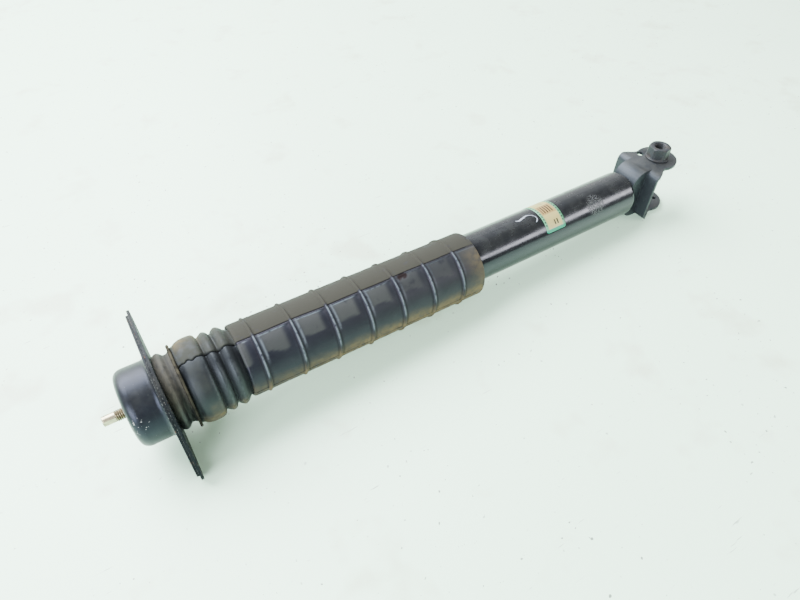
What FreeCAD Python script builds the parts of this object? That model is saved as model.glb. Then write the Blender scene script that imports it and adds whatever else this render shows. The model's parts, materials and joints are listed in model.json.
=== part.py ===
import FreeCAD, Part
import math
import os

# Telescopic rear shock absorber, lying on a floor as it is set down.
# Millimetres. Every piece is drawn in the shock's own frame and laid down at the end.
#   own +Z  along the shock, from the lower bolt towards the rod's tip
#   own +X  along the lower bolt, from the lower fork arm to the weld nut
#   origin  where the lower bolt crosses the shock's axis
# After laying down, -X runs towards the rod's tip, +Z is up and the origin stays.

# ---- driving dimensions ----
TUBE_R = 25.5            # reserve tube, 51 mm across
TUBE_WALL = 1.6
TUBE_FOOT = 50.0         # outer face of the closed end, measured from the lower bolt
TUBE_TOP = 355.0
CAP_EDGE_R = 6.0         # rounding of the closed end
CAP_T = 2.5
PRESSURE_R = 16.5        # inner working tube
PRESSURE_WALL = 1.5
ROD_R = 6.25             # 12.5 mm piston rod
STUD_R = 5.0             # M10 stud at the rod's top
FIT = 0.03               # radial running clearance of rod and piston
GAP = 0.4                # daylight between pieces that must not touch

PLATE_FACE = 581.4       # face of the mounting plates that looks at the body
PLATE_T = 2.2            # each of the two stacked plates
PLATE_HOLE_OFF = 64.0    # bolt holes from the axis
PLATE_HOLE_R = 5.25      # clearance for M10
PLATE_END_R = 13.0
PLATE_MID_R = 50.0
UPPER_SHORT = 4.0        # the rod-side plate is this much shorter at each end
CAN_R = 34.0             # drawn can over the upper cushion
CAN_TOP = 613.5
CAN_WALL = 1.8
CAN_FLARE = 4.0
CAN_HOLE_R = 10.8
ROD_TIP = 632.5
STUD_FLAT_LEN = 10.0
STUD_FLATS = 7.0
SHOULDER = 565.0         # rod shoulder under the seat washer
SEAT_T = 2.5
SEAT_R = 37.5

BOOT_TOP = 564.6         # bellows end under the seat washer
COVER_TOP = 517.6        # ribbed cover, below the bellows
COVER_END = 273.0
COVER_R = 33.8
COVER_WALL = 1.5
RIB_FIRST = 502.7
RIB_PITCH = 34.0
RIB_COUNT = 7
RIB_R = 35.0
RIB_W = 2.4
COVER_SAG = 1.28         # the loose cover hangs by this many degrees

BUMP_END = 510.0
BUMP_CAP_TOP = 358.0

FORK_OUT = 30.5          # outer face of each fork arm from the axis
FORK_T = 3.5
FORK_WEB = 31.0          # flange of the web, measured from the lower bolt
FORK_WEB_HALF = 29.0
ARM_HALF = 26.0          # widest part of each arm
NOSE_R = 22.5
CHANNEL_HALF = 14.5      # raised channel that carries the tube's end
FLANGE_BEND = 8.0        # outer bend radii of the flanges and of the channel
CHANNEL_BEND = 17.0
JIG_HOLE_R = 4.0         # hole in the nut's arm, and its place along and across
JIG_HOLE_H = 10.0
JIG_HOLE_Y = 15.6
PIN_HOLE_R = 2.5         # small hole in the other arm's nose
PIN_HOLE_H = 12.5
PIN_HOLE_Y = 8.5
BOLT_HOLE_R = 7.25       # clearance for an M14 bolt
NUT_THREAD_R = 6.19      # M14 x 1.5 thread, at its crests
NUT_AF = 22.0
NUT_H = 15.0
NUT_PAD_R = 13.2
NUT_PAD_H = 2.5

LABEL_LOW = 158.0        # label's ends along the tube
LABEL_HIGH = 184.0
LABEL_START = -62.0      # degrees round the tube from own +X, and how far it runs
LABEL_SPAN = 140.0
LABEL_T = 0.15

# ---- worked out from the above ----
PLATE_OUTER = PLATE_FACE + 2 * PLATE_T
PLATE_ROLL = math.degrees(math.asin((PLATE_MID_R - PLATE_END_R) / PLATE_HOLE_OFF))
LEAN = math.degrees(math.atan2(PLATE_MID_R - FORK_OUT, PLATE_FACE + NOSE_R))
STUD_SEAT = SHOULDER + SEAT_T

V = FreeCAD.Vector
AXIS = V(0, 0, 1)
O = V(0, 0, 0)


# ---- drawing helpers ----
def turned(points, curved=()):
    """Solid of revolution about the shock's axis from (radius, height) points.

    A side whose index is in curved becomes part of one smooth curve with its curved neighbours.
    """
    pts = [V(r, 0, h) for r, h in points]
    count = len(pts)
    edges = []
    k = 0
    while k < count:
        if k in curved:
            last = k
            while last + 1 in curved:
                last += 1
            spline = Part.BSplineCurve()
            spline.interpolate(pts[k:last + 2])
            edges.append(spline.toShape())
            k = last + 1
        else:
            edges.append(Part.makeLine(pts[k], pts[(k + 1) % count]))
            k += 1
    face = Part.Face(Part.Wire(edges))
    return face.revolve(O, AXIS, 360)


def ring(r_in, r_out, low, high, edge=0.0):
    """Plain ring, with its outer edges chamfered by edge."""
    if edge == 0:
        return turned([(r_in, low), (r_out, low), (r_out, high), (r_in, high)])
    outer = [(r_out - edge, low), (r_out, low + edge), (r_out, high - edge), (r_out - edge, high)]
    return turned([(r_in, low)] + outer + [(r_in, high)])


def rod_shape(r, low, high):
    return Part.makeCylinder(r, high - low, V(0, 0, low))


def slab(outline, low, high):
    """Straight solid on a flat outline of edges in the own XY plane, from low to high."""
    face = Part.Face(Part.Wire(Part.__sortEdges__(outline)))
    face.translate(V(0, 0, low))
    return face.extrude(V(0, 0, high - low))


def hexagon(across, low, high):
    """Hexagonal prism on the axis, with its corners rounded off by a cone at both ends."""
    corner = across / math.sqrt(3)
    pts = [V(corner * math.cos(math.radians(60 * k)), corner * math.sin(math.radians(60 * k)), low)
           for k in range(7)]
    prism = Part.Face(Part.makePolygon(pts)).extrude(V(0, 0, high - low))
    crown = 0.12 * (high - low)
    dressed = turned([(0, low), (across / 2, low), (corner + 0.1, low + crown),
                      (corner + 0.1, high - crown), (across / 2, high), (0, high)])
    return prism.common(dressed)


def around(shape, count, angle=360.0):
    """Copies of shape spaced evenly about the axis."""
    out = []
    for k in range(count):
        copy = shape.copy()
        copy.rotate(O, AXIS, angle * k / count)
        out.append(copy)
    return out


# ---- lower end: fork, weld nut, closed end ----
def strap(depth, half, bend):
    """U of sheet metal seen along own Y: two arms joined by a web at height depth."""
    def region(grow):
        top = depth - FORK_T + grow
        side = FORK_OUT - FORK_T + grow
        r = bend - FORK_T + grow
        c = math.sqrt(0.5) * r
        low = -NOSE_R - 5
        a = V(-side, -half, low)
        b = V(-side, -half, top - r)
        m = V(-side + r - c, -half, top - r + c)
        d = V(-side + r, -half, top)
        e = V(side - r, -half, top)
        n = V(side - r + c, -half, top - r + c)
        f = V(side, -half, top - r)
        g = V(side, -half, low)
        edges = [Part.makeLine(a, b), Part.Arc(b, m, d).toShape(), Part.makeLine(d, e),
                 Part.Arc(e, n, f).toShape(), Part.makeLine(f, g), Part.makeLine(g, a)]
        return Part.Face(Part.Wire(edges)).extrude(V(0, 2 * half, 0))
    return region(FORK_T), region(0.0)


def arm_blank():
    """Footprint of the fork seen along the bolt: round nose, waist, shoulders and web."""
    neck = 16.0
    waist = 19.0
    lean = math.asin(neck / 2 / NOSE_R)
    p0 = V(0, NOSE_R * math.cos(lean), NOSE_R * math.sin(lean))
    p1 = V(0, ARM_HALF, waist)
    p2 = V(0, FORK_WEB_HALF, FORK_WEB - 6)
    p3 = V(0, FORK_WEB_HALF, FORK_WEB + 30)
    mid = V(0, (p0.y + p1.y) / 2 - 0.8, (p0.z + p1.z) / 2 + 0.9)
    nose = V(0, 0, -NOSE_R)

    def flip(p):
        return V(p.x, -p.y, p.z)
    edges = [Part.Arc(p0, mid, p1).toShape(), Part.makeLine(p1, p2), Part.makeLine(p2, p3),
             Part.makeLine(p3, flip(p3)), Part.makeLine(flip(p3), flip(p2)),
             Part.makeLine(flip(p2), flip(p1)), Part.Arc(flip(p1), flip(mid), flip(p0)).toShape(),
             Part.Arc(flip(p0), nose, p0).toShape()]
    face = Part.Face(Part.Wire(edges))
    face.translate(V(-FORK_OUT - 1, 0, 0))
    return face.extrude(V(2 * FORK_OUT + 2, 0, 0))


def across_bolt(r, h, y, low, high):
    """Cylinder parallel to the lower bolt, from own x low to high."""
    return Part.makeCylinder(r, high - low, V(low, y, h), V(1, 0, 0))


def fork_bracket():
    flange_out, flange_in = strap(FORK_WEB, FORK_WEB_HALF, FLANGE_BEND)
    deep_out, deep_in = strap(TUBE_FOOT, CHANNEL_HALF, CHANNEL_BEND)
    wall = CHANNEL_HALF - FORK_T
    core = Part.makeBox(4 * FORK_OUT, 2 * wall, 200, V(-2 * FORK_OUT, -wall, -60))
    flanges = flange_out.cut(flange_in)
    channel = deep_out.cut(deep_in.common(core))
    channel = channel.cut(flange_in)
    body = flanges.cut(deep_in.common(core)).fuse(channel)
    body = body.common(arm_blank())
    body = body.cut(across_bolt(BOLT_HOLE_R, 0, 0, -2 * FORK_OUT, 2 * FORK_OUT))
    body = body.cut(across_bolt(JIG_HOLE_R, JIG_HOLE_H, JIG_HOLE_Y, 0, 2 * FORK_OUT))
    body = body.cut(across_bolt(PIN_HOLE_R, -PIN_HOLE_H, -PIN_HOLE_Y, -2 * FORK_OUT, 0))
    return body.removeSplitter()


def weld_nut():
    nut = hexagon(NUT_AF, 0, NUT_H)
    pad = ring(0, NUT_PAD_R, 0, NUT_PAD_H, 0.6)
    nut = nut.fuse(pad).cut(rod_shape(NUT_THREAD_R, -1, NUT_H + 1))
    mouth = turned([(0, NUT_H - 1), (NUT_THREAD_R - 0.2, NUT_H - 1), (NUT_THREAD_R + 1.2, NUT_H + 0.4),
                    (0, NUT_H + 0.4)])
    nut = nut.cut(mouth).removeSplitter()
    nut.rotate(O, AXIS, 12)
    nut.rotate(O, V(0, 1, 0), 90)
    nut.translate(V(FORK_OUT, 0, 0))
    return nut


def base_cap():
    """Domed closed end of the reserve tube, spun from sheet."""
    r = TUBE_R
    c = CAP_EDGE_R * (1 - math.sqrt(0.5))
    seam = TUBE_FOOT + CAP_EDGE_R
    t = CAP_T
    return turned([(0, TUBE_FOOT), (r - CAP_EDGE_R, TUBE_FOOT), (r - c, TUBE_FOOT + c), (r, seam),
                   (r - TUBE_WALL, seam), (r - TUBE_WALL, seam + 5), (r - TUBE_WALL - t, seam + 5),
                   (r - TUBE_WALL - t, seam), (r - CAP_EDGE_R, TUBE_FOOT + t), (0, TUBE_FOOT + t)],
                  curved=(1, 2))


def weld_bead(fork):
    bead = turned([(16.0, TUBE_FOOT - 2.6), (17.4, TUBE_FOOT - 2.1), (18.6, TUBE_FOOT - 1.0),
                   (19.0, TUBE_FOOT), (13.0, TUBE_FOOT), (13.0, TUBE_FOOT - 2.6)], curved=(0, 1, 2))
    return bead.cut(fork)


# ---- damper body ----
def outer_tube():
    seam = TUBE_FOOT + CAP_EDGE_R
    inner = TUBE_R - TUBE_WALL
    lip = 18.0
    return turned([(inner, seam), (TUBE_R, seam), (TUBE_R, TUBE_TOP - 1.2), (TUBE_R - 1.2, TUBE_TOP),
                   (lip, TUBE_TOP), (lip, TUBE_TOP - TUBE_WALL), (inner, TUBE_TOP - TUBE_WALL)])


GUIDE_LOW = 338.0
GUIDE_HIGH = 350.0
GUIDE_SPIGOT = 330.0
VALVE_SEAT = 61.0
BUSH_T = 1.6


def pressure_tube():
    return ring(PRESSURE_R - PRESSURE_WALL, PRESSURE_R, VALVE_SEAT + 5, GUIDE_LOW)


def rod_guide():
    outer = TUBE_R - TUBE_WALL - FIT
    bore = ROD_R + FIT + BUSH_T
    body = turned([(bore, GUIDE_SPIGOT), (PRESSURE_R - PRESSURE_WALL - FIT, GUIDE_SPIGOT),
                   (PRESSURE_R - PRESSURE_WALL - FIT, GUIDE_LOW), (PRESSURE_R + 1, GUIDE_LOW),
                   (outer, GUIDE_LOW + 4), (outer, GUIDE_HIGH), (bore, GUIDE_HIGH)])
    bleed = Part.makeCylinder(1.2, 20, V(PRESSURE_R + 3.0, 0, GUIDE_LOW - 2))
    return body.cut(Part.makeCompound(around(bleed, 3)))


def guide_bush():
    return ring(ROD_R + FIT, ROD_R + FIT + BUSH_T, GUIDE_SPIGOT, GUIDE_HIGH)


def rod_seal():
    r = ROD_R + FIT
    top = TUBE_TOP - TUBE_WALL
    return turned([(r, GUIDE_HIGH), (TUBE_R - TUBE_WALL - FIT, GUIDE_HIGH),
                   (TUBE_R - TUBE_WALL - FIT, top), (r + 4, top), (r + 2.2, top + 1.4),
                   (r, top + 1.8), (r, top - 0.6), (r + 0.8, top - 1.4), (r, GUIDE_HIGH + 0.6)])


def bump_cap():
    """Pressed cap on the tube's top that the bump stop strikes."""
    r = TUBE_R + 1.5
    return turned([(TUBE_R + 0.05, 338.0), (r, 338.0), (r, BUMP_CAP_TOP - 2), (r - 2, BUMP_CAP_TOP),
                   (10.0, BUMP_CAP_TOP), (10.0, TUBE_TOP + 0.9), (TUBE_R - 1.2, TUBE_TOP + 0.9),
                   (TUBE_R + 0.05, TUBE_TOP - 0.9)])


def base_valve_body():
    r = PRESSURE_R
    body = turned([(2.6, VALVE_SEAT + 1), (9.0, VALVE_SEAT + 1), (r + 3, VALVE_SEAT - 3),
                   (r + 3, VALVE_SEAT + 5), (r - PRESSURE_WALL - FIT, VALVE_SEAT + 5),
                   (r - PRESSURE_WALL - FIT, VALVE_SEAT + 12), (2.6, VALVE_SEAT + 12)])
    port = Part.makeCylinder(1.3, 40, V(7.0, 0, VALVE_SEAT - 5))
    notch = Part.makeBox(12, 5, 6, V(r - 2, -2.5, VALVE_SEAT - 5.5))
    return body.cut(Part.makeCompound(around(port, 6) + around(notch, 4)))


def base_valve_discs():
    low = ring(2.6, 8.4, VALVE_SEAT + 0.2, VALVE_SEAT + 1)
    high = ring(2.6, 9.6, VALVE_SEAT + 12, VALVE_SEAT + 12.8)
    return Part.makeCompound([low, high])


def base_valve_pin():
    return turned([(0, VALVE_SEAT - 2.6), (5.0, VALVE_SEAT - 2.6), (5.0, VALVE_SEAT + 0.2),
                   (2.5, VALVE_SEAT + 0.2), (2.5, VALVE_SEAT + 12.8), (5.5, VALVE_SEAT + 12.8),
                   (5.0, VALVE_SEAT + 16), (0, VALVE_SEAT + 16)])


def label():
    """Film label wrapped part of the way round the tube."""
    r_in, r_out = TUBE_R, TUBE_R + LABEL_T
    face = Part.Face(Part.makePolygon([V(r_in, 0, LABEL_LOW), V(r_out, 0, LABEL_LOW), V(r_out, 0, LABEL_HIGH),
                                       V(r_in, 0, LABEL_HIGH), V(r_in, 0, LABEL_LOW)]))
    sector = face.revolve(O, AXIS, LABEL_SPAN)
    sector.rotate(O, AXIS, LABEL_START)
    return sector


# ---- piston ----
PISTON_LOW = 290.0
PISTON_HIGH = 304.0
BAND_LOW = 293.0
BAND_HIGH = 301.0
BAND_SEAT = 13.2
PISTON_NUT_LOW = 281.0
DISC_T = 1.2
WASHER_T = 2.0
STOP_RING_LOW = 319.0    # snap ring in the rod's groove
STOP_RING_T = 2.4
STOP_RING_DEPTH = 0.8
STOP_T = 8.0


def piston():
    r = PRESSURE_R - PRESSURE_WALL - 0.35
    body = turned([(STUD_R, PISTON_LOW), (r, PISTON_LOW), (r, BAND_LOW), (BAND_SEAT, BAND_LOW),
                   (BAND_SEAT, BAND_HIGH), (r, BAND_HIGH), (r, PISTON_HIGH), (STUD_R, PISTON_HIGH)])
    port = Part.makeCylinder(1.1, 40, V(9.3, 0, PISTON_LOW - 10))
    return body.cut(Part.makeCompound(around(port, 8)))


def piston_band():
    return ring(BAND_SEAT + FIT, PRESSURE_R - PRESSURE_WALL - FIT, BAND_LOW + 0.05, BAND_HIGH - 0.05)


def rebound_discs():
    return ring(STUD_R, 11.5, PISTON_LOW - DISC_T, PISTON_LOW)


def compression_discs():
    return ring(STUD_R, 12.2, PISTON_HIGH, PISTON_HIGH + DISC_T)


def piston_washer():
    return ring(STUD_R, 9.5, PISTON_HIGH + DISC_T, PISTON_HIGH + DISC_T + WASHER_T)


def piston_nut():
    nut = hexagon(17.0, PISTON_NUT_LOW, PISTON_LOW - DISC_T)
    return nut.cut(rod_shape(STUD_R, PISTON_NUT_LOW - 1, PISTON_LOW))


def piston_rod():
    spigot_end = PISTON_NUT_LOW - 1.5
    seat = PISTON_HIGH + DISC_T + WASHER_T
    flat_end = ROD_TIP - STUD_FLAT_LEN
    stub_r = STUD_R - 0.4
    rod = turned([(0, spigot_end), (STUD_R - 1, spigot_end), (STUD_R, spigot_end + 1), (STUD_R, seat),
                  (ROD_R, seat), (ROD_R, SHOULDER), (STUD_R, SHOULDER), (STUD_R, flat_end - 0.6),
                  (stub_r, flat_end), (stub_r, ROD_TIP - 0.5), (stub_r - 0.5, ROD_TIP), (0, ROD_TIP)])
    groove = ring(ROD_R - STOP_RING_DEPTH, ROD_R + 1, STOP_RING_LOW, STOP_RING_LOW + STOP_RING_T)
    rod = rod.cut(groove)
    for side in (-1, 1):
        low_y = STUD_FLATS / 2 if side > 0 else -STUD_FLATS / 2 - 10
        rod = rod.cut(Part.makeBox(20, 10, STUD_FLAT_LEN + 1, V(-10, low_y, flat_end)))
    return rod


def stop_ring():
    """Snap ring in the rod's groove that carries the rebound stop, with its assembly gap."""
    body = ring(ROD_R - STOP_RING_DEPTH, ROD_R + 2.6, STOP_RING_LOW, STOP_RING_LOW + STOP_RING_T)
    return body.cut(Part.makeBox(12, 2.4, 6, V(0, -1.2, STOP_RING_LOW - 1)))


def rebound_stop():
    low = STOP_RING_LOW + STOP_RING_T
    return ring(ROD_R, 11.6, low, low + STOP_T, 1.2)


# ---- top mount ----
def seat_washer():
    """Flat pressed washer on the rod's shoulder, its rim turned over slightly."""
    return turned([(STUD_R, SHOULDER), (SEAT_R - 0.8, SHOULDER), (SEAT_R, SHOULDER + 0.8),
                   (SEAT_R, STUD_SEAT - 0.6), (SEAT_R - 0.6, STUD_SEAT), (STUD_R, STUD_SEAT)])


SLEEVE_R = 8.6
SLEEVE_TOP = 602.5
TOP_WASHER_T = 2.0
NUT_HEIGHT = 8.0


def spacer_sleeve():
    return ring(STUD_R, SLEEVE_R, STUD_SEAT, SLEEVE_TOP, 0.4)


def top_washer():
    return ring(STUD_R, 10.0, SLEEVE_TOP, SLEEVE_TOP + TOP_WASHER_T, 0.3)


def rod_nut():
    low = SLEEVE_TOP + TOP_WASHER_T
    return hexagon(16.0, low, low + NUT_HEIGHT).cut(rod_shape(STUD_R, low - 1, low + NUT_HEIGHT + 1))


LOWER_HOLE_R = 17.0


def lower_cushion():
    """Rubber ring between the seat washer and the plates, with a waist above the washer."""
    return turned([(SLEEVE_R, STUD_SEAT), (32.4, STUD_SEAT), (30.9, STUD_SEAT + 2.2),
                   (31.0, STUD_SEAT + 4.6), (33.6, STUD_SEAT + 7.2), (34.4, STUD_SEAT + 9.6),
                   (33.4, STUD_SEAT + 12.2), (32.0, PLATE_FACE), (LOWER_HOLE_R, PLATE_FACE),
                   (LOWER_HOLE_R, PLATE_FACE + PLATE_T), (SLEEVE_R, PLATE_FACE + PLATE_T)],
                  curved=(1, 2, 3, 4, 5, 6))


def upper_cushion():
    inner = CAN_R - CAN_WALL
    base = PLATE_FACE + PLATE_T
    return turned([(SLEEVE_R, base), (inner, base), (inner, base + 17), (inner - 2.5, base + 19.5),
                   (21.0, base + 20.5), (15.0, base + 16.5), (SLEEVE_R, base + 17.5)],
                  curved=(2, 3, 4, 5))


def plate_outline(shorten):
    """Rounded diamond seen along the axis, long way along own X, tangent lines between arcs."""
    far = PLATE_HOLE_OFF - shorten
    lean = math.asin((PLATE_MID_R - PLATE_END_R) / far)
    s, c = math.sin(lean), math.cos(lean)

    def spots(side, up):
        mid = V(side * PLATE_MID_R * s, up * PLATE_MID_R * c, 0)
        end = V(side * (far + PLATE_END_R * s), up * PLATE_END_R * c, 0)
        return mid, end
    (m_ru, e_ru), (m_rd, e_rd) = spots(1, 1), spots(1, -1)
    (m_lu, e_lu), (m_ld, e_ld) = spots(-1, 1), spots(-1, -1)
    tip = far + PLATE_END_R
    return [Part.makeLine(m_ru, e_ru), Part.Arc(e_ru, V(tip, 0, 0), e_rd).toShape(),
            Part.makeLine(e_rd, m_rd), Part.Arc(m_rd, V(0, -PLATE_MID_R, 0), m_ld).toShape(),
            Part.makeLine(m_ld, e_ld), Part.Arc(e_ld, V(-tip, 0, 0), e_lu).toShape(),
            Part.makeLine(e_lu, m_lu), Part.Arc(m_lu, V(0, PLATE_MID_R, 0), m_ru).toShape()]


def bolt_holes(plate):
    for side in (-1, 1):
        hole = Part.makeCylinder(PLATE_HOLE_R, 20, V(side * PLATE_HOLE_OFF, 0, PLATE_FACE - 8))
        plate = plate.cut(hole)
    return plate


def swing(shape):
    """Turns a plate from its drawing direction to how the mount is set on the rod."""
    shape.rotate(O, AXIS, 90 - PLATE_ROLL)
    return shape


def mount_plate():
    plate = bolt_holes(slab(plate_outline(0.0), PLATE_FACE, PLATE_FACE + PLATE_T))
    return swing(plate.cut(rod_shape(LOWER_HOLE_R, PLATE_FACE - 1, PLATE_OUTER)))


def rod_side_plate():
    """Upper plate of the pair, open in the middle where the can stands."""
    low = PLATE_FACE + PLATE_T
    plate = bolt_holes(slab(plate_outline(UPPER_SHORT), low, PLATE_OUTER))
    return swing(plate.cut(rod_shape(CAN_R + CAN_FLARE, low - 1, PLATE_OUTER + 1)))


def mount_can():
    """Drawn can over the upper cushion, flared at its foot to meet the rod-side plate."""
    foot = PLATE_FACE + PLATE_T
    inner = CAN_R - CAN_WALL
    bend = CAN_FLARE * (1 - math.sqrt(0.5))
    dome = 8.0
    dome_bend = dome * (1 - math.sqrt(0.5))
    inside_bend = dome_bend + CAN_WALL * math.sqrt(0.5)
    flare = [(CAN_R + CAN_FLARE, PLATE_OUTER), (CAN_R + bend, PLATE_OUTER + bend),
             (CAN_R, PLATE_OUTER + CAN_FLARE)]
    crown = [(CAN_R, CAN_TOP - dome), (CAN_R - dome_bend, CAN_TOP - dome_bend), (CAN_R - dome, CAN_TOP)]
    mouth = [(CAN_HOLE_R, CAN_TOP), (CAN_HOLE_R, CAN_TOP - CAN_WALL)]
    inside = [(CAN_R - dome, CAN_TOP - CAN_WALL), (CAN_R - inside_bend, CAN_TOP - inside_bend),
              (inner, CAN_TOP - dome)]
    points = [(inner, foot), (CAN_R + CAN_FLARE, foot)] + flare + crown + mouth + inside
    return turned(points, curved=(2, 3, 5, 6, 10, 11))


# ---- boot and bump stop ----
def bump_stop():
    top = BOOT_TOP - 2.2
    r = ROD_R + GAP
    pitch = 13.0
    pts = [(r, top), (20.0, top)]
    h = top
    for _ in range(3):
        pts += [(21.5, h - 0.45 * pitch), (16.5, h - pitch)]
        h -= pitch
    pts += [(18.5, h - 5.0), (13.5, BUMP_END), (r, BUMP_END)]
    return turned(pts, curved=range(1, 9))


def bellows(shift):
    """Points down one wall of the bellows, moved inwards by shift."""
    wall = [(35.2, 562.0), (37.6, 556.0), (38.3, 550.0), (37.8, 545.5), (33.4, 542.3),
            (36.6, 536.5), (32.2, 531.5), (36.2, 526.0), (32.0, 520.5), (30.6, 517.0)]
    return [(r - shift, h) for r, h in wall]


def dust_boot():
    """Bellows moulded with a flange that the seat washer clamps and a collar inside the cover."""
    t = 1.6
    outer = bellows(0.0)
    inner = bellows(t)
    collar = 510.0
    bore = ROD_R + GAP
    pts = [(bore, BOOT_TOP - GAP / 2), (34.4, BOOT_TOP - GAP / 2)] + outer
    pts += [(30.2, collar), (28.6, collar)] + inner[::-1] + [(32.4, BOOT_TOP - 2), (bore, BOOT_TOP - 2)]
    first = 2
    last = first + len(outer) - 2
    back = last + 4
    return turned(pts, curved=list(range(first, last + 1)) + list(range(back, back + len(inner) - 1)))


def dust_cover():
    """Ribbed plastic cover, open at its lower end; it sags on the bellows."""
    inner = COVER_R - COVER_WALL
    lip = 1.8
    pts = [(inner, COVER_END), (COVER_R - 0.5, COVER_END), (COVER_R, COVER_END + 1.0)]
    for k in range(RIB_COUNT - 1, -1, -1):
        h = RIB_FIRST - k * RIB_PITCH
        pts += [(COVER_R, h - RIB_W), (RIB_R, h - 0.25 * RIB_W), (RIB_R, h + 0.25 * RIB_W),
                (COVER_R, h + RIB_W)]
    pts += [(COVER_R, COVER_TOP - lip), (COVER_R - lip, COVER_TOP), (31.0, COVER_TOP),
            (31.0, COVER_TOP - 1.4), (inner, COVER_TOP - lip - 1)]
    cover = turned(pts)
    cover.rotate(V(0, 0, COVER_TOP), V(0, 1, 0), COVER_SAG)
    return cover


def lay_down(shape):
    """From the shock's own frame to the floor: rod end towards -X and raised by the lean."""
    shape.rotate(O, V(0, 1, 0), LEAN - 90)
    return shape


def main():
    fork = fork_bracket()
    parts = {
        "fork_bracket": fork,
        "weld_nut": weld_nut(),
        "weld_bead": weld_bead(fork),
        "base_cap": base_cap(),
        "outer_tube": outer_tube(),
        "pressure_tube": pressure_tube(),
        "rod_guide": rod_guide(),
        "guide_bush": guide_bush(),
        "rod_seal": rod_seal(),
        "bump_cap": bump_cap(),
        "base_valve_body": base_valve_body(),
        "base_valve_discs": base_valve_discs(),
        "base_valve_pin": base_valve_pin(),
        "label": label(),
        "piston_band": piston_band(),
        "piston": piston(),
        "rebound_discs": rebound_discs(),
        "compression_discs": compression_discs(),
        "piston_washer": piston_washer(),
        "piston_nut": piston_nut(),
        "piston_rod": piston_rod(),
        "stop_ring": stop_ring(),
        "rebound_stop": rebound_stop(),
        "seat_washer": seat_washer(),
        "spacer_sleeve": spacer_sleeve(),
        "top_washer": top_washer(),
        "rod_nut": rod_nut(),
        "lower_cushion": lower_cushion(),
        "upper_cushion": upper_cushion(),
        "mount_plate": mount_plate(),
        "rod_side_plate": rod_side_plate(),
        "mount_can": mount_can(),
        "bump_stop": bump_stop(),
        "dust_boot": dust_boot(),
        "dust_cover": dust_cover(),
    }
    os.makedirs("parts", exist_ok=True)
    for name, shape in parts.items():
        laid = lay_down(shape)
        laid.exportStep("parts/" + name + ".step")
        print(name, len(laid.Solids), "solids", laid.isValid(), round(laid.Volume / 1000, 2), "cm3")
    print("lean", round(LEAN, 4), "plate roll", round(PLATE_ROLL, 3))


main()
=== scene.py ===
import json
import math

import bmesh
import bpy
import numpy as np
from bpy.props import FloatProperty, FloatVectorProperty, IntProperty, PointerProperty
from mathutils import Matrix, Vector


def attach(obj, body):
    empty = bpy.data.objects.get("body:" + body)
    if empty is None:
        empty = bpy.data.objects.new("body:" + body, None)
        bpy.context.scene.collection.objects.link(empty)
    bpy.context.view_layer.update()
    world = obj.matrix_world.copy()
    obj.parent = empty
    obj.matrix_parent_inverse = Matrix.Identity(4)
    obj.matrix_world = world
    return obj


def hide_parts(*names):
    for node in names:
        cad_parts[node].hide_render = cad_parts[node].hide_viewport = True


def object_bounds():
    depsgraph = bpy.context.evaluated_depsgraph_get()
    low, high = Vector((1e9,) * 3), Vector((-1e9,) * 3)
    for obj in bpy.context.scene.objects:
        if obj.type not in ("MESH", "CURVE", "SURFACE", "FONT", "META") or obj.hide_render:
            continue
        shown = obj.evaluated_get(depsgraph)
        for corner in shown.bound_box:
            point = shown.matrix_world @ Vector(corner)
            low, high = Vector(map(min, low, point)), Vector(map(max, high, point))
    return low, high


bl_info = {
    "name": "Rear Shock Absorber",
    "version": (1, 0, 0),
    "blender": (4, 5, 0),
    "location": "3D View > Sidebar > Shock",
    "description": "Builds the visible pieces and finishes of a rear shock round its CAD frame",
    "category": "Object",
}

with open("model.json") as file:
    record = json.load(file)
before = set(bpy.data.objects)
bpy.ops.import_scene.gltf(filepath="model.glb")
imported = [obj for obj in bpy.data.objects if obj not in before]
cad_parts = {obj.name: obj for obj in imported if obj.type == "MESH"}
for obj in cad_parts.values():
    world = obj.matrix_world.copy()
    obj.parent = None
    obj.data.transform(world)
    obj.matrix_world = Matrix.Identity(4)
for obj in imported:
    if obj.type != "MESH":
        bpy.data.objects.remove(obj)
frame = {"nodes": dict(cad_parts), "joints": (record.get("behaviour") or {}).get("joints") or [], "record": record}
CAD_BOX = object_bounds()
NODES = frame["nodes"]
MM = 0.001
DAMPER, MOUNT = "damper_body", "rod_and_mount"
# Places in the shock's own frame and standard sizes, all in millimetres.
CHIPPED_RIM = (14.0, -31.0, 607.0)
SCUFF_SIDE = (17.0, -16.0)
WELD_NUT_ACROSS, WELD_NUT_BORE, WELD_NUT_PAD = 22.0, 6.19, (13.2, 2.5)
ROD_NUT_ACROSS, ROD_NUT_BORE = 16.0, 5.02
STUD_RADIUS, ROD_RADIUS, STUD_HALF_FLAT, STUD_FLAT_LONG = 5.0, 6.25, 3.5, 10.0
EDGE_ANGLE, FLAT_ANGLE = math.radians(38), math.radians(1.5)
MERGE_DISTANCE = 1e-6           # metres
THREAD_DEPTH = 0.55             # share of the pitch
THREAD_STEPS = 8                # rows of points in each pitch
TURN_STEP = 3.0                 # degrees between the points round a turned piece
COVER_RADIUS, COVER_WALL, COVER_NECK = 33.8, 1.5, 31.0
COVER_END_REACH, COVER_TOP_REACH = 33.0, 31.5   # how far its leaning ends stand out
RIB_RADIUS, RIB_HEIGHT, RIB_ROOT = 33.45, 1.45, 2.7
BELLOWS_WALL, BELLOWS_BORE = 1.6, 6.65
DROP_STEP = 0.9                 # between the drops of a weld bead
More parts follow.
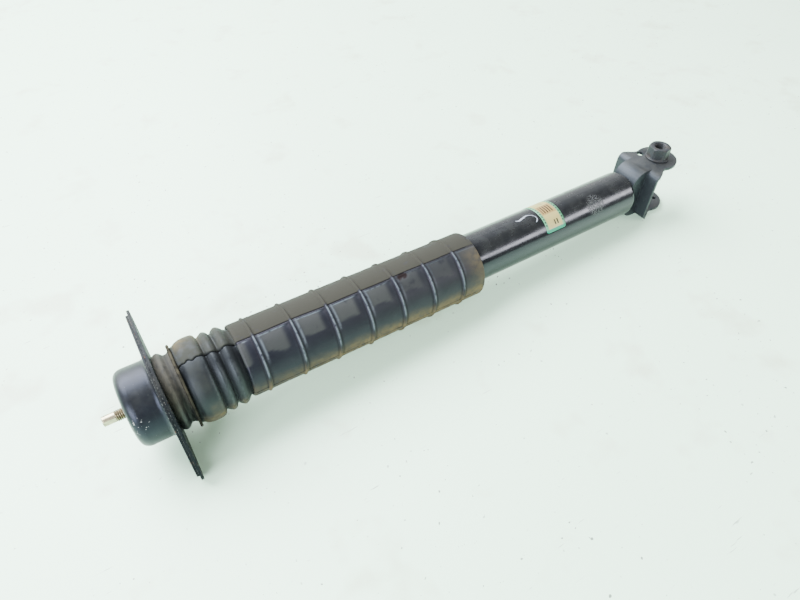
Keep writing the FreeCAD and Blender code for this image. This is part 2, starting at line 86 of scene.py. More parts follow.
# The room, in metres, and its lamps: place, target, size, watts and colour.
FLOOR_HALF = 6.0
LAMPS = {
    "window": ((1.13, -1.32, 0.79), (-0.15, 0, 0), (1.0, 0.4), 36.0, "fffcf7"),
    "ceiling": ((-0.9, 1.45, 1.85), (-0.3, 0, 0), (2.4, 2.0), 440.0, "f7fbff"),
    "fill": ((-2.1, -1.3, 1.0), (-0.35, 0, 0), (1.5, 1.1), 150.0, "f4f9ff"),
}
CAMERA_PLACE = (-0.5509, -0.3327, 0.4217)
CAMERA_RIGHT, CAMERA_UP = Vector((0.84625, -0.532, -0.0213)), Vector((0.4058, 0.618, 0.6733))
CAMERA_LENS, CAMERA_SENSOR = 26.0, 36.0         # millimetres


# ---- where the shock lies ----
# Pieces are drawn in the shock's own frame, in millimetres: Z from the lower bolt to the rod's
# tip, X along the bolt towards the weld nut, Y across. LAID turns that into the row frame.
def shock_axes():
    """Directions of the own frame in the row frame, as the columns of a matrix."""
    slide = next(j for j in frame["joints"] if j["name"] == "rod_slide")
    bolt = next(m for m in frame["record"]["mounts"] if m["name"] == "lower_bolt")
    along = -Vector(slide["axis"]).normalized()
    across = along.cross(-Vector(bolt["axis"])).normalized()
    out = across.cross(along)
    return Matrix((out, across, along)).transposed()


LAID = shock_axes()
TO_ROW = LAID.to_4x4() @ Matrix.Scale(MM, 4)


def own_points(node):
    """A CAD node's vertices in the shock's own frame, in millimetres."""
    found = np.array([v.co for v in NODES[node].data.vertices], float)
    return found @ np.array(LAID) / MM


def span(node):
    """Lowest and highest point of a CAD node along the shock."""
    heights = own_points(node)[:, 2]
    return heights.min(), heights.max()


def reach(node):
    """Largest radius of a CAD node about the shock's axis."""
    return np.hypot(*own_points(node)[:, :2].T).max()


# ---- colours and node helpers ----
def linear(text):
    """Linear RGBA of an sRGB hex value."""
    parts = [int(text[k:k + 2], 16) / 255 for k in (0, 2, 4)]
    return (*(p / 12.92 if p <= 0.04045 else ((p + 0.055) / 1.055) ** 2.4 for p in parts), 1.0)


def add(tree, kind, inputs=None, **settings):
    """Adds a node with its settings, then links or sets its inputs."""
    node = tree.nodes.new(kind)
    for name, value in settings.items():
        setattr(node, name, value)
    for key, value in (inputs or {}).items():
        if isinstance(value, bpy.types.NodeSocket):
            tree.links.new(value, node.inputs[key])
        else:
            node.inputs[key].default_value = value
    return node


def finish(name, colour, roughness, metallic=0.0, **direct):
    """A new material with one Principled shader; uniform numbers go straight on its sockets."""
    made = bpy.data.materials.new(name)
    made.use_nodes = True
    tree = made.node_tree
    tree.nodes.clear()
    base = colour if not isinstance(colour, str) else linear(colour)
    inputs = {"Base Color": tuple(base), "Roughness": roughness, "Metallic": metallic}
    inputs.update({key.replace("_", " "): value for key, value in direct.items()})
    shader = add(tree, "ShaderNodeBsdfPrincipled", inputs)
    add(tree, "ShaderNodeOutputMaterial", {"Surface": shader.outputs["BSDF"]})
    return made, tree, shader


def over(tree, shader, masks, colour=None, roughness=None, metallic=None):
    """Lays another colour, roughness or metal over the shader's where all masks are 1.

    A mask is a node's output, an even share or the name of a mark painted on the mesh. Gives back
    the masks' product.
    """
    mask = None
    for part in masks if isinstance(masks, tuple) else (masks,):
        if isinstance(part, str):
            part = add(tree, "ShaderNodeAttribute", attribute_name=part).outputs["Fac"]
        mask = part if mask is None else add(tree, "ShaderNodeMath", {0: mask, 1: part},
                                             operation="MULTIPLY", use_clamp=True).outputs[0]
    tone = linear(colour) if isinstance(colour, str) else colour
    for name, value in (("Base Color", tone), ("Roughness", roughness), ("Metallic", metallic)):
        if value is None:
            continue
        socket = shader.inputs[name]
        tinted = name == "Base Color"
        before = socket.links[0].from_socket if socket.is_linked else socket.default_value
        if tinted and not socket.is_linked:
            before = tuple(before)
        mix = add(tree, "ShaderNodeMix", {0: mask, 6 if tinted else 2: before,
                                          7 if tinted else 3: value},
                  data_type="RGBA" if tinted else "FLOAT")
        tree.links.new(mix.outputs[2 if tinted else 0], socket)
    return mask


def relief(tree, shader, height, depth):
    """Bump of depth millimetres from a 0 to 1 height, on top of any bump already there."""
    socket = shader.inputs["Normal"]
    inputs = {"Height": height, "Distance": depth * MM, "Strength": 1.0}
    if socket.is_linked:
        inputs["Normal"] = socket.links[0].from_socket
    tree.links.new(add(tree, "ShaderNodeBump", inputs).outputs["Normal"], socket)


def own_place(tree, stretch=(1, 1, 1)):
    """Object coordinates turned into the shock's own frame, in millimetres."""
    place = add(tree, "ShaderNodeTexCoord").outputs["Object"]
    turned = add(tree, "ShaderNodeMapping", {"Vector": place, "Scale": (1 / MM,) * 3,
                                             "Rotation": LAID.transposed().to_euler()})
    if stretch == (1, 1, 1):
        return turned.outputs["Vector"]
    return add(tree, "ShaderNodeMapping", {"Vector": turned.outputs["Vector"],
                                           "Scale": stretch}).outputs["Vector"]


def patches(tree, place, size, low, high, detail=3.0):
    """Mask of random patches about size millimetres across: 0 below low, 1 above high."""
    noise = add(tree, "ShaderNodeTexNoise", {"Vector": place, "Scale": 1 / size, "Detail": detail,
                                             "Roughness": 0.6})
    return add(tree, "ShaderNodeMapRange", {"Value": noise.outputs[0], "From Min": low,
                                            "From Max": high}).outputs["Result"]


def facing_up(tree, low, high):
    """1 where the surface looks up as the shock lies, 0 where it looks down."""
    normal = add(tree, "ShaderNodeTexCoord").outputs["Normal"]
    height = add(tree, "ShaderNodeSeparateXYZ", {0: normal}).outputs["Z"]
    return add(tree, "ShaderNodeMapRange", {"Value": height, "From Min": low, "From Max": high},
               interpolation_type="SMOOTHSTEP").outputs["Result"]


def near_spot(tree, place, centre, rim, core):
    """1 within core millimetres of a point, fading to 0 at rim."""
    offset = add(tree, "ShaderNodeVectorMath", {0: place, 1: centre}, operation="DISTANCE")
    return add(tree, "ShaderNodeMapRange", {"Value": offset.outputs["Value"], "From Min": rim,
                                            "From Max": core}).outputs["Result"]


def orange_peel(tree, shader, place, size, depth, detail=3.0):
    """The slow unevenness that paint dries with."""
    noise = add(tree, "ShaderNodeTexNoise", {"Vector": place, "Scale": 1 / size, "Detail": detail})
    relief(tree, shader, noise.outputs[0], depth)


# ---- finishes ----
# Sizes of patterns and depths of relief are millimetres.
def bracket_enamel(name, colour, roughness, gloss):
    # Electrocoated pressed steel: thin satin black paint that keeps the sheet's faint orange peel,
    # wears through to grey steel on its edges and holds dust on top.
    made, tree, shader = finish(name, colour, roughness,
                                Specular_IOR_Level=gloss, Specular_Tint=linear("c9d8ea"))
    place = own_place(tree)
    over(tree, shader, patches(tree, place, 26, 0.42, 0.72), "17191b", 0.5)
    dust = facing_up(tree, 0.3, 1.0), patches(tree, place, 9, 0.3, 0.75), 0.3
    over(tree, shader, dust, "4a4943", 0.8)
    over(tree, shader, ("edge", patches(tree, place, 1.6, 0.5, 0.6)), "4b4b4a", 0.45, 0.3)
    over(tree, shader, patches(tree, place, 1.1, 0.77, 0.8, 1.0), "6f6e69", 0.5)
    over(tree, shader, ("edge", patches(tree, place, 4.0, 0.6, 0.7)), "5b3d2a", 0.9, 0.0)
    orange_peel(tree, shader, place, 0.9, 0.03)
    return made


def can_enamel():
    # The same electrocoat on a drawn can, smoother, with rings left by the drawing, hands' grease
    # and a small group of chips on its rim.
    made, tree, shader = finish("Electrocoat on drawn can", colours().bracket, 0.33,
                                Specular_IOR_Level=0.27, Specular_Tint=linear("c2cdee"))
    place = own_place(tree)
    over(tree, shader, patches(tree, place, 22, 0.4, 0.7), "131519", 0.36)
    rings = own_place(tree, (0.03, 0.03, 1.0))
    over(tree, shader, (patches(tree, rings, 1.4, 0.62, 0.72), 0.35), "202225", 0.45)
    dust = facing_up(tree, 0.2, 1.0), patches(tree, place, 14, 0.25, 0.75), 0.35
    over(tree, shader, dust, "3f3f3a", 0.8)
    chips = near_spot(tree, place, CHIPPED_RIM, 9.0, 5.0), patches(tree, place, 2.2, 0.66, 0.7, 1.0)
    over(tree, shader, chips, "7b7b7c", 0.5)
    over(tree, shader, patches(tree, place, 1.5, 0.79, 0.81, 1.0), "4d4d4b", 0.5)
    orange_peel(tree, shader, place, 0.9, 0.02)
    return made


def tube_enamel():
    # Baked gloss enamel on drawn tube: sharp reflections softened by a film of grime, long fine
    # scratches along the tube and a scuffed patch near its closed end.
    made, tree, shader = finish("Gloss black tube enamel", colours().tube, 0.13,
                                Specular_IOR_Level=0.46, Specular_Tint=linear("d3d8ea"))
    place = own_place(tree)
    scratches = own_place(tree, (1.0, 1.0, 0.03))
    smears = own_place(tree, (1.0, 1.0, 0.15))
    over(tree, shader, patches(tree, place, 30, 0.35, 0.75), "0d0e11", 0.22)
    over(tree, shader, (patches(tree, smears, 6, 0.5, 0.8), 0.4), "191b1e", 0.34)
    over(tree, shader, (patches(tree, scratches, 0.5, 0.68, 0.76), 0.4), "2c2e30", 0.4)
    dust = facing_up(tree, 0.25, 1.0), patches(tree, place, 12, 0.2, 0.8), 0.3
    over(tree, shader, dust, "393a36", 0.75)
    centre = (SCUFF_SIDE[0], SCUFF_SIDE[1], length_of("scuff_height"))
    scuff = over(tree, shader, (near_spot(tree, place, centre, 13.0, 8.0),
                                patches(tree, place, 1.3, 0.5, 0.56, 2.0)), "3d3e3d", 0.5)
    relief(tree, shader, scuff, 0.15)
    orange_peel(tree, shader, place, 2.5, 0.03, 2.0)
    return made


def phosphate():
    # Manganese phosphate: a fine dark crystal crust with almost no gloss.
    made, tree, shader = finish("Manganese phosphate", "17191c", 0.5, Specular_IOR_Level=0.25)
    place = own_place(tree)
    over(tree, shader, patches(tree, place, 0.8, 0.45, 0.6), "26282c", 0.58)
    over(tree, shader, patches(tree, place, 7, 0.55, 0.75), "2a2621", 0.75)
    over(tree, shader, ("edge", 0.7), "85868a", 0.35, 0.7)
    relief(tree, shader, patches(tree, place, 0.5, 0.3, 0.7), 0.04)
    return made


def blackened_washer():
    # Oil-blackened pressed washer: dead matt, brown dust caught along its rim.
    made, tree, shader = finish("Oil-blackened washer", "0e0f10", 0.9, Specular_IOR_Level=0.0)
    place = own_place(tree)
    over(tree, shader, patches(tree, place, 6, 0.4, 0.7), "1c1c1b", 0.95)
    over(tree, shader, ("edge", patches(tree, place, 5, 0.25, 0.6)), "3d3a31", 0.95)
    relief(tree, shader, patches(tree, place, 0.8, 0.3, 0.7), 0.03)
    return made


def zinc_plate():
    # Yellow-passivated zinc: warm metal, cloudy, dull where it has been handled.
    made, tree, shader = finish("Yellow passivated zinc", "b5a98d", 0.34, 1.0)
    place = own_place(tree)
    over(tree, shader, patches(tree, place, 3, 0.4, 0.7), "8d8672", 0.42)
    # painted shade in the thread roots
    over(tree, shader, "crease", "4d463a", 0.6)
    over(tree, shader, patches(tree, place, 1.2, 0.66, 0.74), "5d5341", 0.7, 0.4)
    relief(tree, shader, patches(tree, place, 0.4, 0.3, 0.7), 0.01)
    return made


def hard_chrome():
    # Ground and chromed rod: a mirror with only a trace of its grinding marks round it.
    made, tree, shader = finish("Hard chrome", "cfd0d1", 0.08, 1.0)
    rings = own_place(tree, (0.02, 0.02, 1.0))
    over(tree, shader, patches(tree, rings, 0.6, 0.5, 0.8), "bcbdbf", 0.16)
    return made


def plain_stock(name, colour, other, roughness, metallic=0.0, stretch=(1, 1, 1), clouds=4,
                clear=0.7, duller=0.12, grain=0.6, depth=0.02):
    """Bare, plated or moulded stock with one grain, for the pieces inside the body."""
    made, tree, shader = finish(name, colour, roughness, metallic)
    place = own_place(tree, stretch)
    over(tree, shader, patches(tree, place, clouds, 0.4, clear), other, roughness + duller)
    relief(tree, shader, patches(tree, place, grain, 0.3, 0.7), depth)
    return made


def moulded_rubber():
    # Natural rubber cushion, pressed in a polished mould: satin, grey bloom, road dust on top.
    made, tree, shader = finish("Moulded rubber, satin", colours().rubber, 0.42,
                                Specular_IOR_Level=0.35)
    place = own_place(tree)
    over(tree, shader, patches(tree, place, 11, 0.4, 0.75), "17181a", 0.55)
    dust = facing_up(tree, -0.1, 0.75), patches(tree, place, 5, 0.15, 0.55)
    over(tree, shader, dust, "46443d", 0.85)
    # painted shade in the moulded waist groove
    over(tree, shader, "crease", "060607", 0.8)
    relief(tree, shader, patches(tree, place, 1.0, 0.3, 0.7), 0.03)
    return made


def boot_rubber():
    # Bellows rubber, weathered: dull grey road dust above, tan clay on the crests, bare below.
    made, tree, shader = finish("Bellows rubber, weathered", colours().rubber, 0.4,
                                Specular_IOR_Level=0.28, Specular_Tint=linear("dbe6f2"))
    place = own_place(tree)
    over(tree, shader, patches(tree, place, 16, 0.4, 0.7), "16181a", 0.5)
    # painted highlight along the fold crests, paler and glossier
    over(tree, shader, ("rub_and_highlight", patches(tree, place, 3, 0.35, 0.6)), "2c2f31", 0.4)
    over(tree, shader, ("dust", patches(tree, place, 7, 0.2, 0.58)), colours().dust, 0.85)
    over(tree, shader, ("clay", patches(tree, place, 5, 0.2, 0.6)), colours().clay, 0.9)
    # painted shade in the seam crack and in the fold valleys
    over(tree, shader, "crease", "030304", 0.9)
    relief(tree, shader, patches(tree, place, 1.2, 0.2, 0.8), 0.05)
    return made


def cover_plastic():
    # Blow-moulded polyethylene: waxy half gloss, dust baked on above the parting line, paler rubbed patches below
    # it whose edges are lightened as painted highlights, painted shade in the seam grooves and at the rib roots,
    # and tan dirt along the bottom.
    made, tree, shader = finish("Blow-moulded cover, dusty", colours().cover, 0.41,
                                Specular_IOR_Level=0.25, Specular_Tint=linear("dcd5ec"))
    place = own_place(tree)
    scratches = own_place(tree, (1.0, 1.0, 0.06))
    over(tree, shader, patches(tree, place, 28, 0.35, 0.75), "12151a", 0.47)
    over(tree, shader, ("haze", patches(tree, place, 14, 0.22, 0.4)), "2b2d2b", 0.62)
    # painted highlight: paler bluish edges beside the ribs, under the seam and on the rib crests, on rubbed
    # plastic
    over(tree, shader, ("rub_and_highlight", patches(tree, place, 4.5, 0.3, 0.5)), "4a5157", 0.4)
    over(tree, shader, (patches(tree, scratches, 0.6, 0.68, 0.74), 0.4), "2c2f31", 0.55)
    over(tree, shader, ("dust", patches(tree, place, 10, 0.05, 0.4)), colours().dust, 0.88)
    over(tree, shader, ("clay", patches(tree, place, 6, 0.2, 0.6)), colours().clay, 0.9)
    over(tree, shader, "tear", "120b07", 0.95)
    # painted shade: near black in the seam grooves and at the rib roots
    over(tree, shader, "crease", "040405", 0.8)
    relief(tree, shader, patches(tree, place, 5.0, 0.2, 0.8), 0.12)
    relief(tree, shader, patches(tree, place, 0.8, 0.3, 0.7), 0.02)
    return made


def bump_foam():
    # Microcellular polyurethane: buff, matt, its open cells about a third of a millimetre across
    # but drawn at 0.8 mm, as fine as they can be and still show.
    made, tree, shader = finish("Microcellular foam", "a3936a", 0.9)
    place = own_place(tree)
    cells = add(tree, "ShaderNodeTexVoronoi", {"Vector": place, "Scale": 1 / 0.8})
    over(tree, shader, patches(tree, place, 9, 0.4, 0.7), "857552", 0.95)
    over(tree, shader, (cells.outputs["Distance"], 0.6), "6a5c3e")
    relief(tree, shader, cells.outputs["Distance"], 0.2)
    return made


def label_film():
    # Printed polyester film: cream ground, green edges with rows of ticks, a bar block, a brown
    # band and a teal foot. Its map runs in millimetres: U along the wrap, V along the tube.
    made, tree, shader = finish("Printed polyester film", "948f6c", 0.42, Specular_IOR_Level=0.3)
    uv = add(tree, "ShaderNodeUVMap", uv_map="wrap").outputs["UV"]
    axes = add(tree, "ShaderNodeSeparateXYZ", {0: uv})
    u, v = axes.outputs["X"], axes.outputs["Y"]
    half = length_of("label_width") / 2
    offset = add(tree, "ShaderNodeMath", {0: v, 1: half}, operation="SUBTRACT").outputs[0]
    side = add(tree, "ShaderNodeMath", {0: offset}, operation="ABSOLUTE").outputs[0]

    def band(value, low, high, soft=0.15):
        """Two masks that are both 1 only from low to high millimetres."""
        limits = (low - soft, low + soft), (high + soft, high - soft)
        return tuple(add(tree, "ShaderNodeMapRange", {"Value": value, "From Min": none,
                                                      "From Max": full}).outputs["Result"]
                     for none, full in limits)

    def ticks(value, pitch, share):
        """Bands every pitch millimetres."""
        wave = add(tree, "ShaderNodeMath", {0: value, 1: pitch}, operation="MODULO").outputs[0]
        return band(wave, pitch * 0.1, pitch * share)

    printed = (
        (band(u, 4.5, 60), "978c58", None),
        (band(u, 20.0, 34.0), "876f44", None),
        (band(side, half - 3.4, half + 1), "4a8462", 0.35),
        (band(side, half - 2.6, half - 1) + ticks(u, 3.6, 0.62) + band(u, 7, 45), "06140f", 0.5),
        (ticks(v, 3.2, 0.6) + band(v, 5.5, 20.5) + band(u, 21.5, 32.5), "0d0704", 0.5),
        (ticks(u, 2.6, 0.35) + band(v, 8.5, 12.5) + band(u, 36, 48), "191914", 0.5),
        (band(v, 8.0, 9.8) + band(u, 6.5, 12.0), "0e0d0b", 0.5),
        (band(v, 11.6, 13.2) + band(u, 6.5, 12.0), "0e0d0b", 0.5),
        (band(u, -1, 3.4), "0d7a60", 0.32))
    for masks, colour, roughness in printed:
        over(tree, shader, masks, colour, roughness)
    place = own_place(tree)
    over(tree, shader, (patches(tree, place, 3, 0.5, 0.8), 0.35), "5b573f", 0.5)
    relief(tree, shader, patches(tree, place, 2.5, 0.3, 0.7), 0.03)
    return made


def paint_dab():
    # Thick inspection paint put on with a brush end: off-white, matt, thin at its rims.
    made, tree, shader = finish("Inspection paint", "8b919c", 0.5)
    place = own_place(tree)
    over(tree, shader, patches(tree, place, 1.2, 0.5, 0.7), "5b606b", 0.6)
    relief(tree, shader, patches(tree, place, 0.8, 0.3, 0.7), 0.08)
    return made


def floor_sheet():
    # Painted board floor: pale, matt, with a slow drift in tone, faint scrapes, stains and specks.
    made, tree, shader = finish("Pale painted floor", colours().floor, 0.42)
    place = add(tree, "ShaderNodeTexCoord").outputs["Object"]
    wide = add(tree, "ShaderNodeMapping", {"Vector": place, "Scale": (1 / MM,) * 3}).outputs[0]
    drawn = add(tree, "ShaderNodeMapping", {"Vector": wide, "Rotation": (0, 0, 0.7),
                                            "Scale": (0.08, 1, 1)}).outputs[0]
    over(tree, shader, (patches(tree, wide, 420, 0.35, 0.75), 0.4), "c0e2c8")
    scrapes = patches(tree, drawn, 2.6, 0.68, 0.72), patches(tree, wide, 100, 0.5, 0.6), 0.75
    over(tree, shader, scrapes, "737e76", 0.6)
    over(tree, shader, (patches(tree, wide, 70, 0.58, 0.72), 0.34), "a39f86", 0.5)
    specks = patches(tree, wide, 4.5, 0.72, 0.75, 1.0), patches(tree, wide, 60, 0.48, 0.58), 0.85
    over(tree, shader, specks, "4e534d", 0.6)
    relief(tree, shader, patches(tree, wide, 6, 0.3, 0.7), 0.05)
    return made


def inner_finishes():
    """Finishes of the small pieces and of what is inside the body, by material slot."""
    drawn, turned = (1.0, 1.0, 0.03), (0.05, 0.05, 1.0)
    metal = {"metallic": 1.0, "clear": 0.65, "duller": 0.1}
    fine, coarse, lathe = ({"clouds": size, "grain": size} for size in (1.0, 0.5, 0.7))
    tube = {"clouds": 0.8, "grain": 0.8, "stretch": drawn}
    return {
        "spring_steel": plain_stock("Blued spring steel", "4b5363", "6a6f78", 0.3, **metal, **fine),
        "drawn_steel": plain_stock("Cold-drawn steel", "9a9b9c", "77797b", 0.3, **metal, **tube),
        "sintered_iron": plain_stock("Sintered iron", "5d5d5f", "47484a", 0.6, depth=0.06,
                                     **metal, **coarse),
        "bronze_bush": plain_stock("Bearing bronze", "a5804c", "7d5f37", 0.35, stretch=turned,
                                   **metal, **lathe),
        "ptfe_band": plain_stock("Bronze-filled PTFE", "6a5a45", "57493a", 0.5),
        "nylon_stop": plain_stock("Natural nylon", "d2ccb6", "bdb59c", 0.45),
        "seal_rubber": plain_stock("Nitrile rubber", "0f1011", "18191a", 0.5),
    }


# ---- mesh helpers ----
def eased(x, low, high):
    """0 before low, 1 after high, smooth between, either way round."""
    t = np.clip((np.asarray(x, float) - low) / (high - low), 0, 1)
    return t * t * (3 - 2 * t)


def hump(x, centre, width):
    """A smooth peak of 1 at centre that dies away over width on each side."""
    return np.exp(-((np.asarray(x, float) - centre) / width) ** 2)


def between(x, low, high, soft):
    """1 from low to high and 0 outside, with soft ends."""
    return eased(x, low - soft, low + soft) * (1 - eased(x, high - soft, high + soft))


def ripple(turns, heights, seed, size, count=7):
    """Smooth random unevenness from -1 to 1, size millimetres long, that closes round the axis."""
    draw = np.random.default_rng(seed)
    total = 0.0
    for _ in range(count):
        lobes = draw.integers(0, 6)
        length = size * draw.uniform(0.7, 2.0)
        phase, tilt = draw.uniform(0, 2 * math.pi, 2)
        around = np.cos(lobes * np.radians(turns) + phase)
        total = total + around * np.cos(heights * 2 * math.pi / length + tilt)
    return total / math.sqrt(count) * 0.7


def curve_through(points, step):
    """Points about step apart on a smooth curve through the given ones."""
    pts = np.array(points, float)
    ends = np.vstack([2 * pts[0] - pts[1], pts, 2 * pts[-1] - pts[-2]])
    out = []
    for a, b, c, d in zip(ends, ends[1:], ends[2:], ends[3:]):
        count = max(2, int(round(np.linalg.norm(c - b) / step)))
        for t in np.arange(count) / count:
            out.append(0.5 * (2 * b + (c - a) * t + (2 * a - 5 * b + 4 * c - d) * t ** 2
                              + (3 * b - a - 3 * c + d) * t ** 3))
    return np.vstack([out, pts[-1:]])


def turns_with(coarse, *fine):
    """Angles round the axis every coarse degrees, and closer where fine (low, high, step) says."""
    found = list(np.arange(-180, 180, coarse))
    for low, high, step in fine:
        found = [t for t in found if not low - 0.01 <= t <= high + 0.01]
        found += list(np.arange(low, high, step))
    return np.array(sorted(found))


def piece_from(name, points, faces, marks=None, wrap=None, matrix=None):
    """Object made of points in the own frame, laid down into the row frame, with faces outwards."""
    mesh = bpy.data.meshes.new(name)
    mesh.from_pydata([tuple(p) for p in points], [], [tuple(f) for f in faces])
    work = bmesh.new()
    work.from_mesh(mesh)
    if work.calc_volume(signed=True) < 0:
        bmesh.ops.reverse_faces(work, faces=work.faces)
    work.to_mesh(mesh)
    work.free()
    for key, values in (marks or {}).items():
        layer = mesh.attributes.new(key, "FLOAT", "POINT")
        layer.data.foreach_set("value", np.ascontiguousarray(values, np.float32).ravel())
    if wrap is not None:
        layer = mesh.uv_layers.new(name="wrap")
        index = np.zeros(len(mesh.loops), int)
        mesh.loops.foreach_get("vertex_index", index)
        layer.data.foreach_set("uv", np.asarray(wrap, np.float32)[index].ravel())
    mesh.transform(TO_ROW @ matrix if matrix is not None else TO_ROW)
    mesh.shade_smooth()
    made = bpy.data.objects.new(name, mesh)
    bpy.context.scene.collection.objects.link(made)
    return made


def turned_piece(name, turns, radii, heights, marks=None, poles=False, matrix=None):
    """Closed body swept round the axis: a row of radii and heights, in millimetres, at each angle.

    The last row joins the first, or with poles the first and last rows close onto the axis.
    """
    rows, cols = radii.shape
    heights = heights + np.zeros_like(radii)
    angle = np.radians(turns)[None]
    points = np.stack([radii * np.cos(angle), radii * np.sin(angle), heights], -1).reshape(-1, 3)
    around = np.arange(cols)
    ahead = (around + 1) % cols
    faces = []
    for k in range(rows - 1 if poles else rows):
        low, high = k * cols, (k + 1) % rows * cols
        faces += np.stack([low + around, low + ahead, high + ahead, high + around], 1).tolist()
    painted = {key: (values + 0 * radii).ravel() for key, values in (marks or {}).items()}
    if poles:
        for row in (0, rows - 1):
            tip = len(points)
            points = np.vstack([points, [0, 0, heights[row, 0]]])
            painted = {key: np.append(values, 0.0) for key, values in painted.items()}
            start = row * cols
            sides = (ahead, around) if row == 0 else (around, ahead)
            faces += [[start + a, start + b, tip] for a, b in np.stack(sides, 1).tolist()]
    return piece_from(name, points, faces, painted, matrix=matrix)


def flat_rows(profile, turns):
    """Rows of a plain turned profile, the same at every angle."""
    pts = np.array(profile, float)
    return pts[:, :1] + np.zeros((1, len(turns))), pts[:, 1:] + np.zeros((1, len(turns)))


def hexagon_radius(turns, across, rounding):
    """Radius of a hexagon with slightly rounded corners at each angle."""
    swing = np.radians((turns % 60) - 30)
    return np.minimum(across / 2 / np.cos(swing), across / math.sqrt(3) - rounding)


def thread_wave(turns, heights, pitch):
    """0 at the thread's root and 1 at its crest, for a right-hand helix."""
    phase = (heights / pitch - turns / 360) % 1.0
    return np.clip(1.15 - 2.3 * np.abs(phase - 0.5) * 1.15, 0, 1)


def dressed_copy(node, width, material):
    """Copy of a CAD node with its sharp edges broken, and an "edge" mark on the broken faces."""
    work = bmesh.new()
    work.from_mesh(NODES[node].data)
    bmesh.ops.remove_doubles(work, verts=work.verts, dist=MERGE_DISTANCE)
    bmesh.ops.dissolve_limit(work, angle_limit=FLAT_ANGLE, verts=work.verts, edges=work.edges)
    mesh = bpy.data.meshes.new(node + "_rough")
    work.to_mesh(mesh)
    work.free()
    mesh.materials.clear()
    for _ in range(2):
        mesh.materials.append(material)
    mesh.polygons.foreach_set("material_index", np.zeros(len(mesh.polygons), int))
    rough = bpy.data.objects.new(node + "_rough", mesh)
    bpy.context.scene.collection.objects.link(rough)
    bevel = rough.modifiers.new("edges", "BEVEL")
    bevel.width = width * MM
    bevel.segments = 3
    bevel.limit_method = "ANGLE"
    bevel.angle_limit = EDGE_ANGLE
    bevel.material = 1
    bevel.harden_normals = True
    mesh.shade_smooth()
    made = bpy.data.objects.new(node + "_dressed", plain_mesh(rough))
    bpy.data.objects.remove(rough)
    bpy.context.scene.collection.objects.link(made)
    index = np.zeros(len(made.data.polygons), int)
    made.data.polygons.foreach_get("material_index", index)
    layer = made.data.attributes.new("edge", "FLOAT", "FACE")
    layer.data.foreach_set("value", index.astype(np.float32))
    made.data.polygons.foreach_set("material_index", np.zeros(len(index), int))
    made.data.materials.pop(index=1)
    made.data.update()
    return made


def plain_mesh(made):
    """The object's evaluated mesh, with its modifiers applied."""
    graph = bpy.context.evaluated_depsgraph_get()
    return bpy.data.meshes.new_from_object(made.evaluated_get(graph))


def grown(name, tree, sizes, matrix):
    """Bakes a geometry tree with the given named sizes to a plain mesh piece in the row frame."""
    seed = bpy.data.objects.new(name, bpy.data.meshes.new(name))
    bpy.context.scene.collection.objects.link(seed)
    grow = seed.modifiers.new("grow", "NODES")
    grow.node_group = tree
    for item in tree.interface.items_tree:
        if item.in_out == "INPUT" and item.name in sizes:
            grow[item.identifier] = sizes[item.name]
    mesh = plain_mesh(seed)
    seed.modifiers.remove(grow)
    seed.data = mesh
    mesh.transform(TO_ROW @ matrix)
    mesh.shade_smooth()
    return seed


def geometry_tree(name, sizes):
    """Empty geometry tree with named inputs, and its input and output nodes."""
    tree = bpy.data.node_groups.new(name, "GeometryNodeTree")
    tree.interface.new_socket("Geometry", in_out="OUTPUT", socket_type="NodeSocketGeometry")
    for key, value in sizes.items():
        kind = {int: "Int", float: "Float"}.get(type(value), "Material")
        tree.interface.new_socket(key, in_out="INPUT", socket_type="NodeSocket" + kind)
    return tree, add(tree, "NodeGroupInput"), add(tree, "NodeGroupOutput")


def close_tree(tree, copies, material, result):
    """Makes a tree's copies real, gives them their material and sends them out."""
    real = add(tree, "GeometryNodeRealizeInstances", {0: copies.outputs[0]})
    painted = add(tree, "GeometryNodeSetMaterial", {"Geometry": real.outputs[0],
                                                    "Material": material})
    tree.links.new(painted.outputs[0], result.inputs[0])


def settle(made, body, material=None, stands_for=()):
    """Gives a finished piece its material, its body, its slot and the nodes it stands for."""
    if material is not None:
        made.data.materials.clear()
        made.data.materials.append(material)
    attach(made, body)
    if stands_for:
        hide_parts(*stands_for)
    return made


# ---- user settings ----
class ShockShape(bpy.types.PropertyGroup):
    """Sizes that a user would change"""
    edge_break: FloatProperty(
        name="Edge break", description="Rounding of sheet metal edges",
        default=0.45 * MM, min=0.05 * MM, max=1.0 * MM, precision=5, unit="LENGTH")
    rib_count: IntProperty(
        name="Ribs", description="Hoops moulded round the dust cover", default=7, min=1, max=12)
    rib_pitch: FloatProperty(
        name="Rib pitch", description="Distance from rib to rib",
        default=34.0 * MM, min=5.0 * MM, precision=4, unit="LENGTH")
    rib_first: FloatProperty(
        name="First rib", description="First rib from the cover's upper end",
        default=14.9 * MM, min=3.0 * MM, precision=4, unit="LENGTH")
    rib_half: FloatProperty(
        name="Rib half width", description="Half of a rib's foot",
        default=1.8 * MM, min=0.5 * MM, precision=4, unit="LENGTH")
    seam_turn: FloatProperty(
        name="Upper seam", description="Angle of the cover's upper parting line",
        default=math.radians(-12.3), subtype="ANGLE")
    lower_seam_turn: FloatProperty(
        name="Lower seam", description="Angle of the cover's lower parting line",
        default=math.radians(-106.5), subtype="ANGLE")
    stud_pitch: FloatProperty(
        name="Stud thread pitch", description="Pitch of the M10 thread",
        default=1.5 * MM, min=0.5 * MM, precision=5, unit="LENGTH")
    bolt_pitch: FloatProperty(
        name="Weld nut thread pitch", description="Pitch of the M14 thread",
        default=1.5 * MM, min=0.5 * MM, precision=5, unit="LENGTH")
    label_width: FloatProperty(
        name="Label width", description="Label's size along the tube",
        default=26.0 * MM, min=5.0 * MM, precision=4, unit="LENGTH")
    scuff_height: FloatProperty(
        name="Scuff place", description="Distance of the scuffed patch from the lower bolt",
        default=112.0 * MM, precision=4, unit="LENGTH")


def paint_setting(name, description, tone):
    """A colour that a user can change."""
    return FloatVectorProperty(name=name, description=description, subtype="COLOR", size=4,
                               min=0, max=1, default=linear(tone))


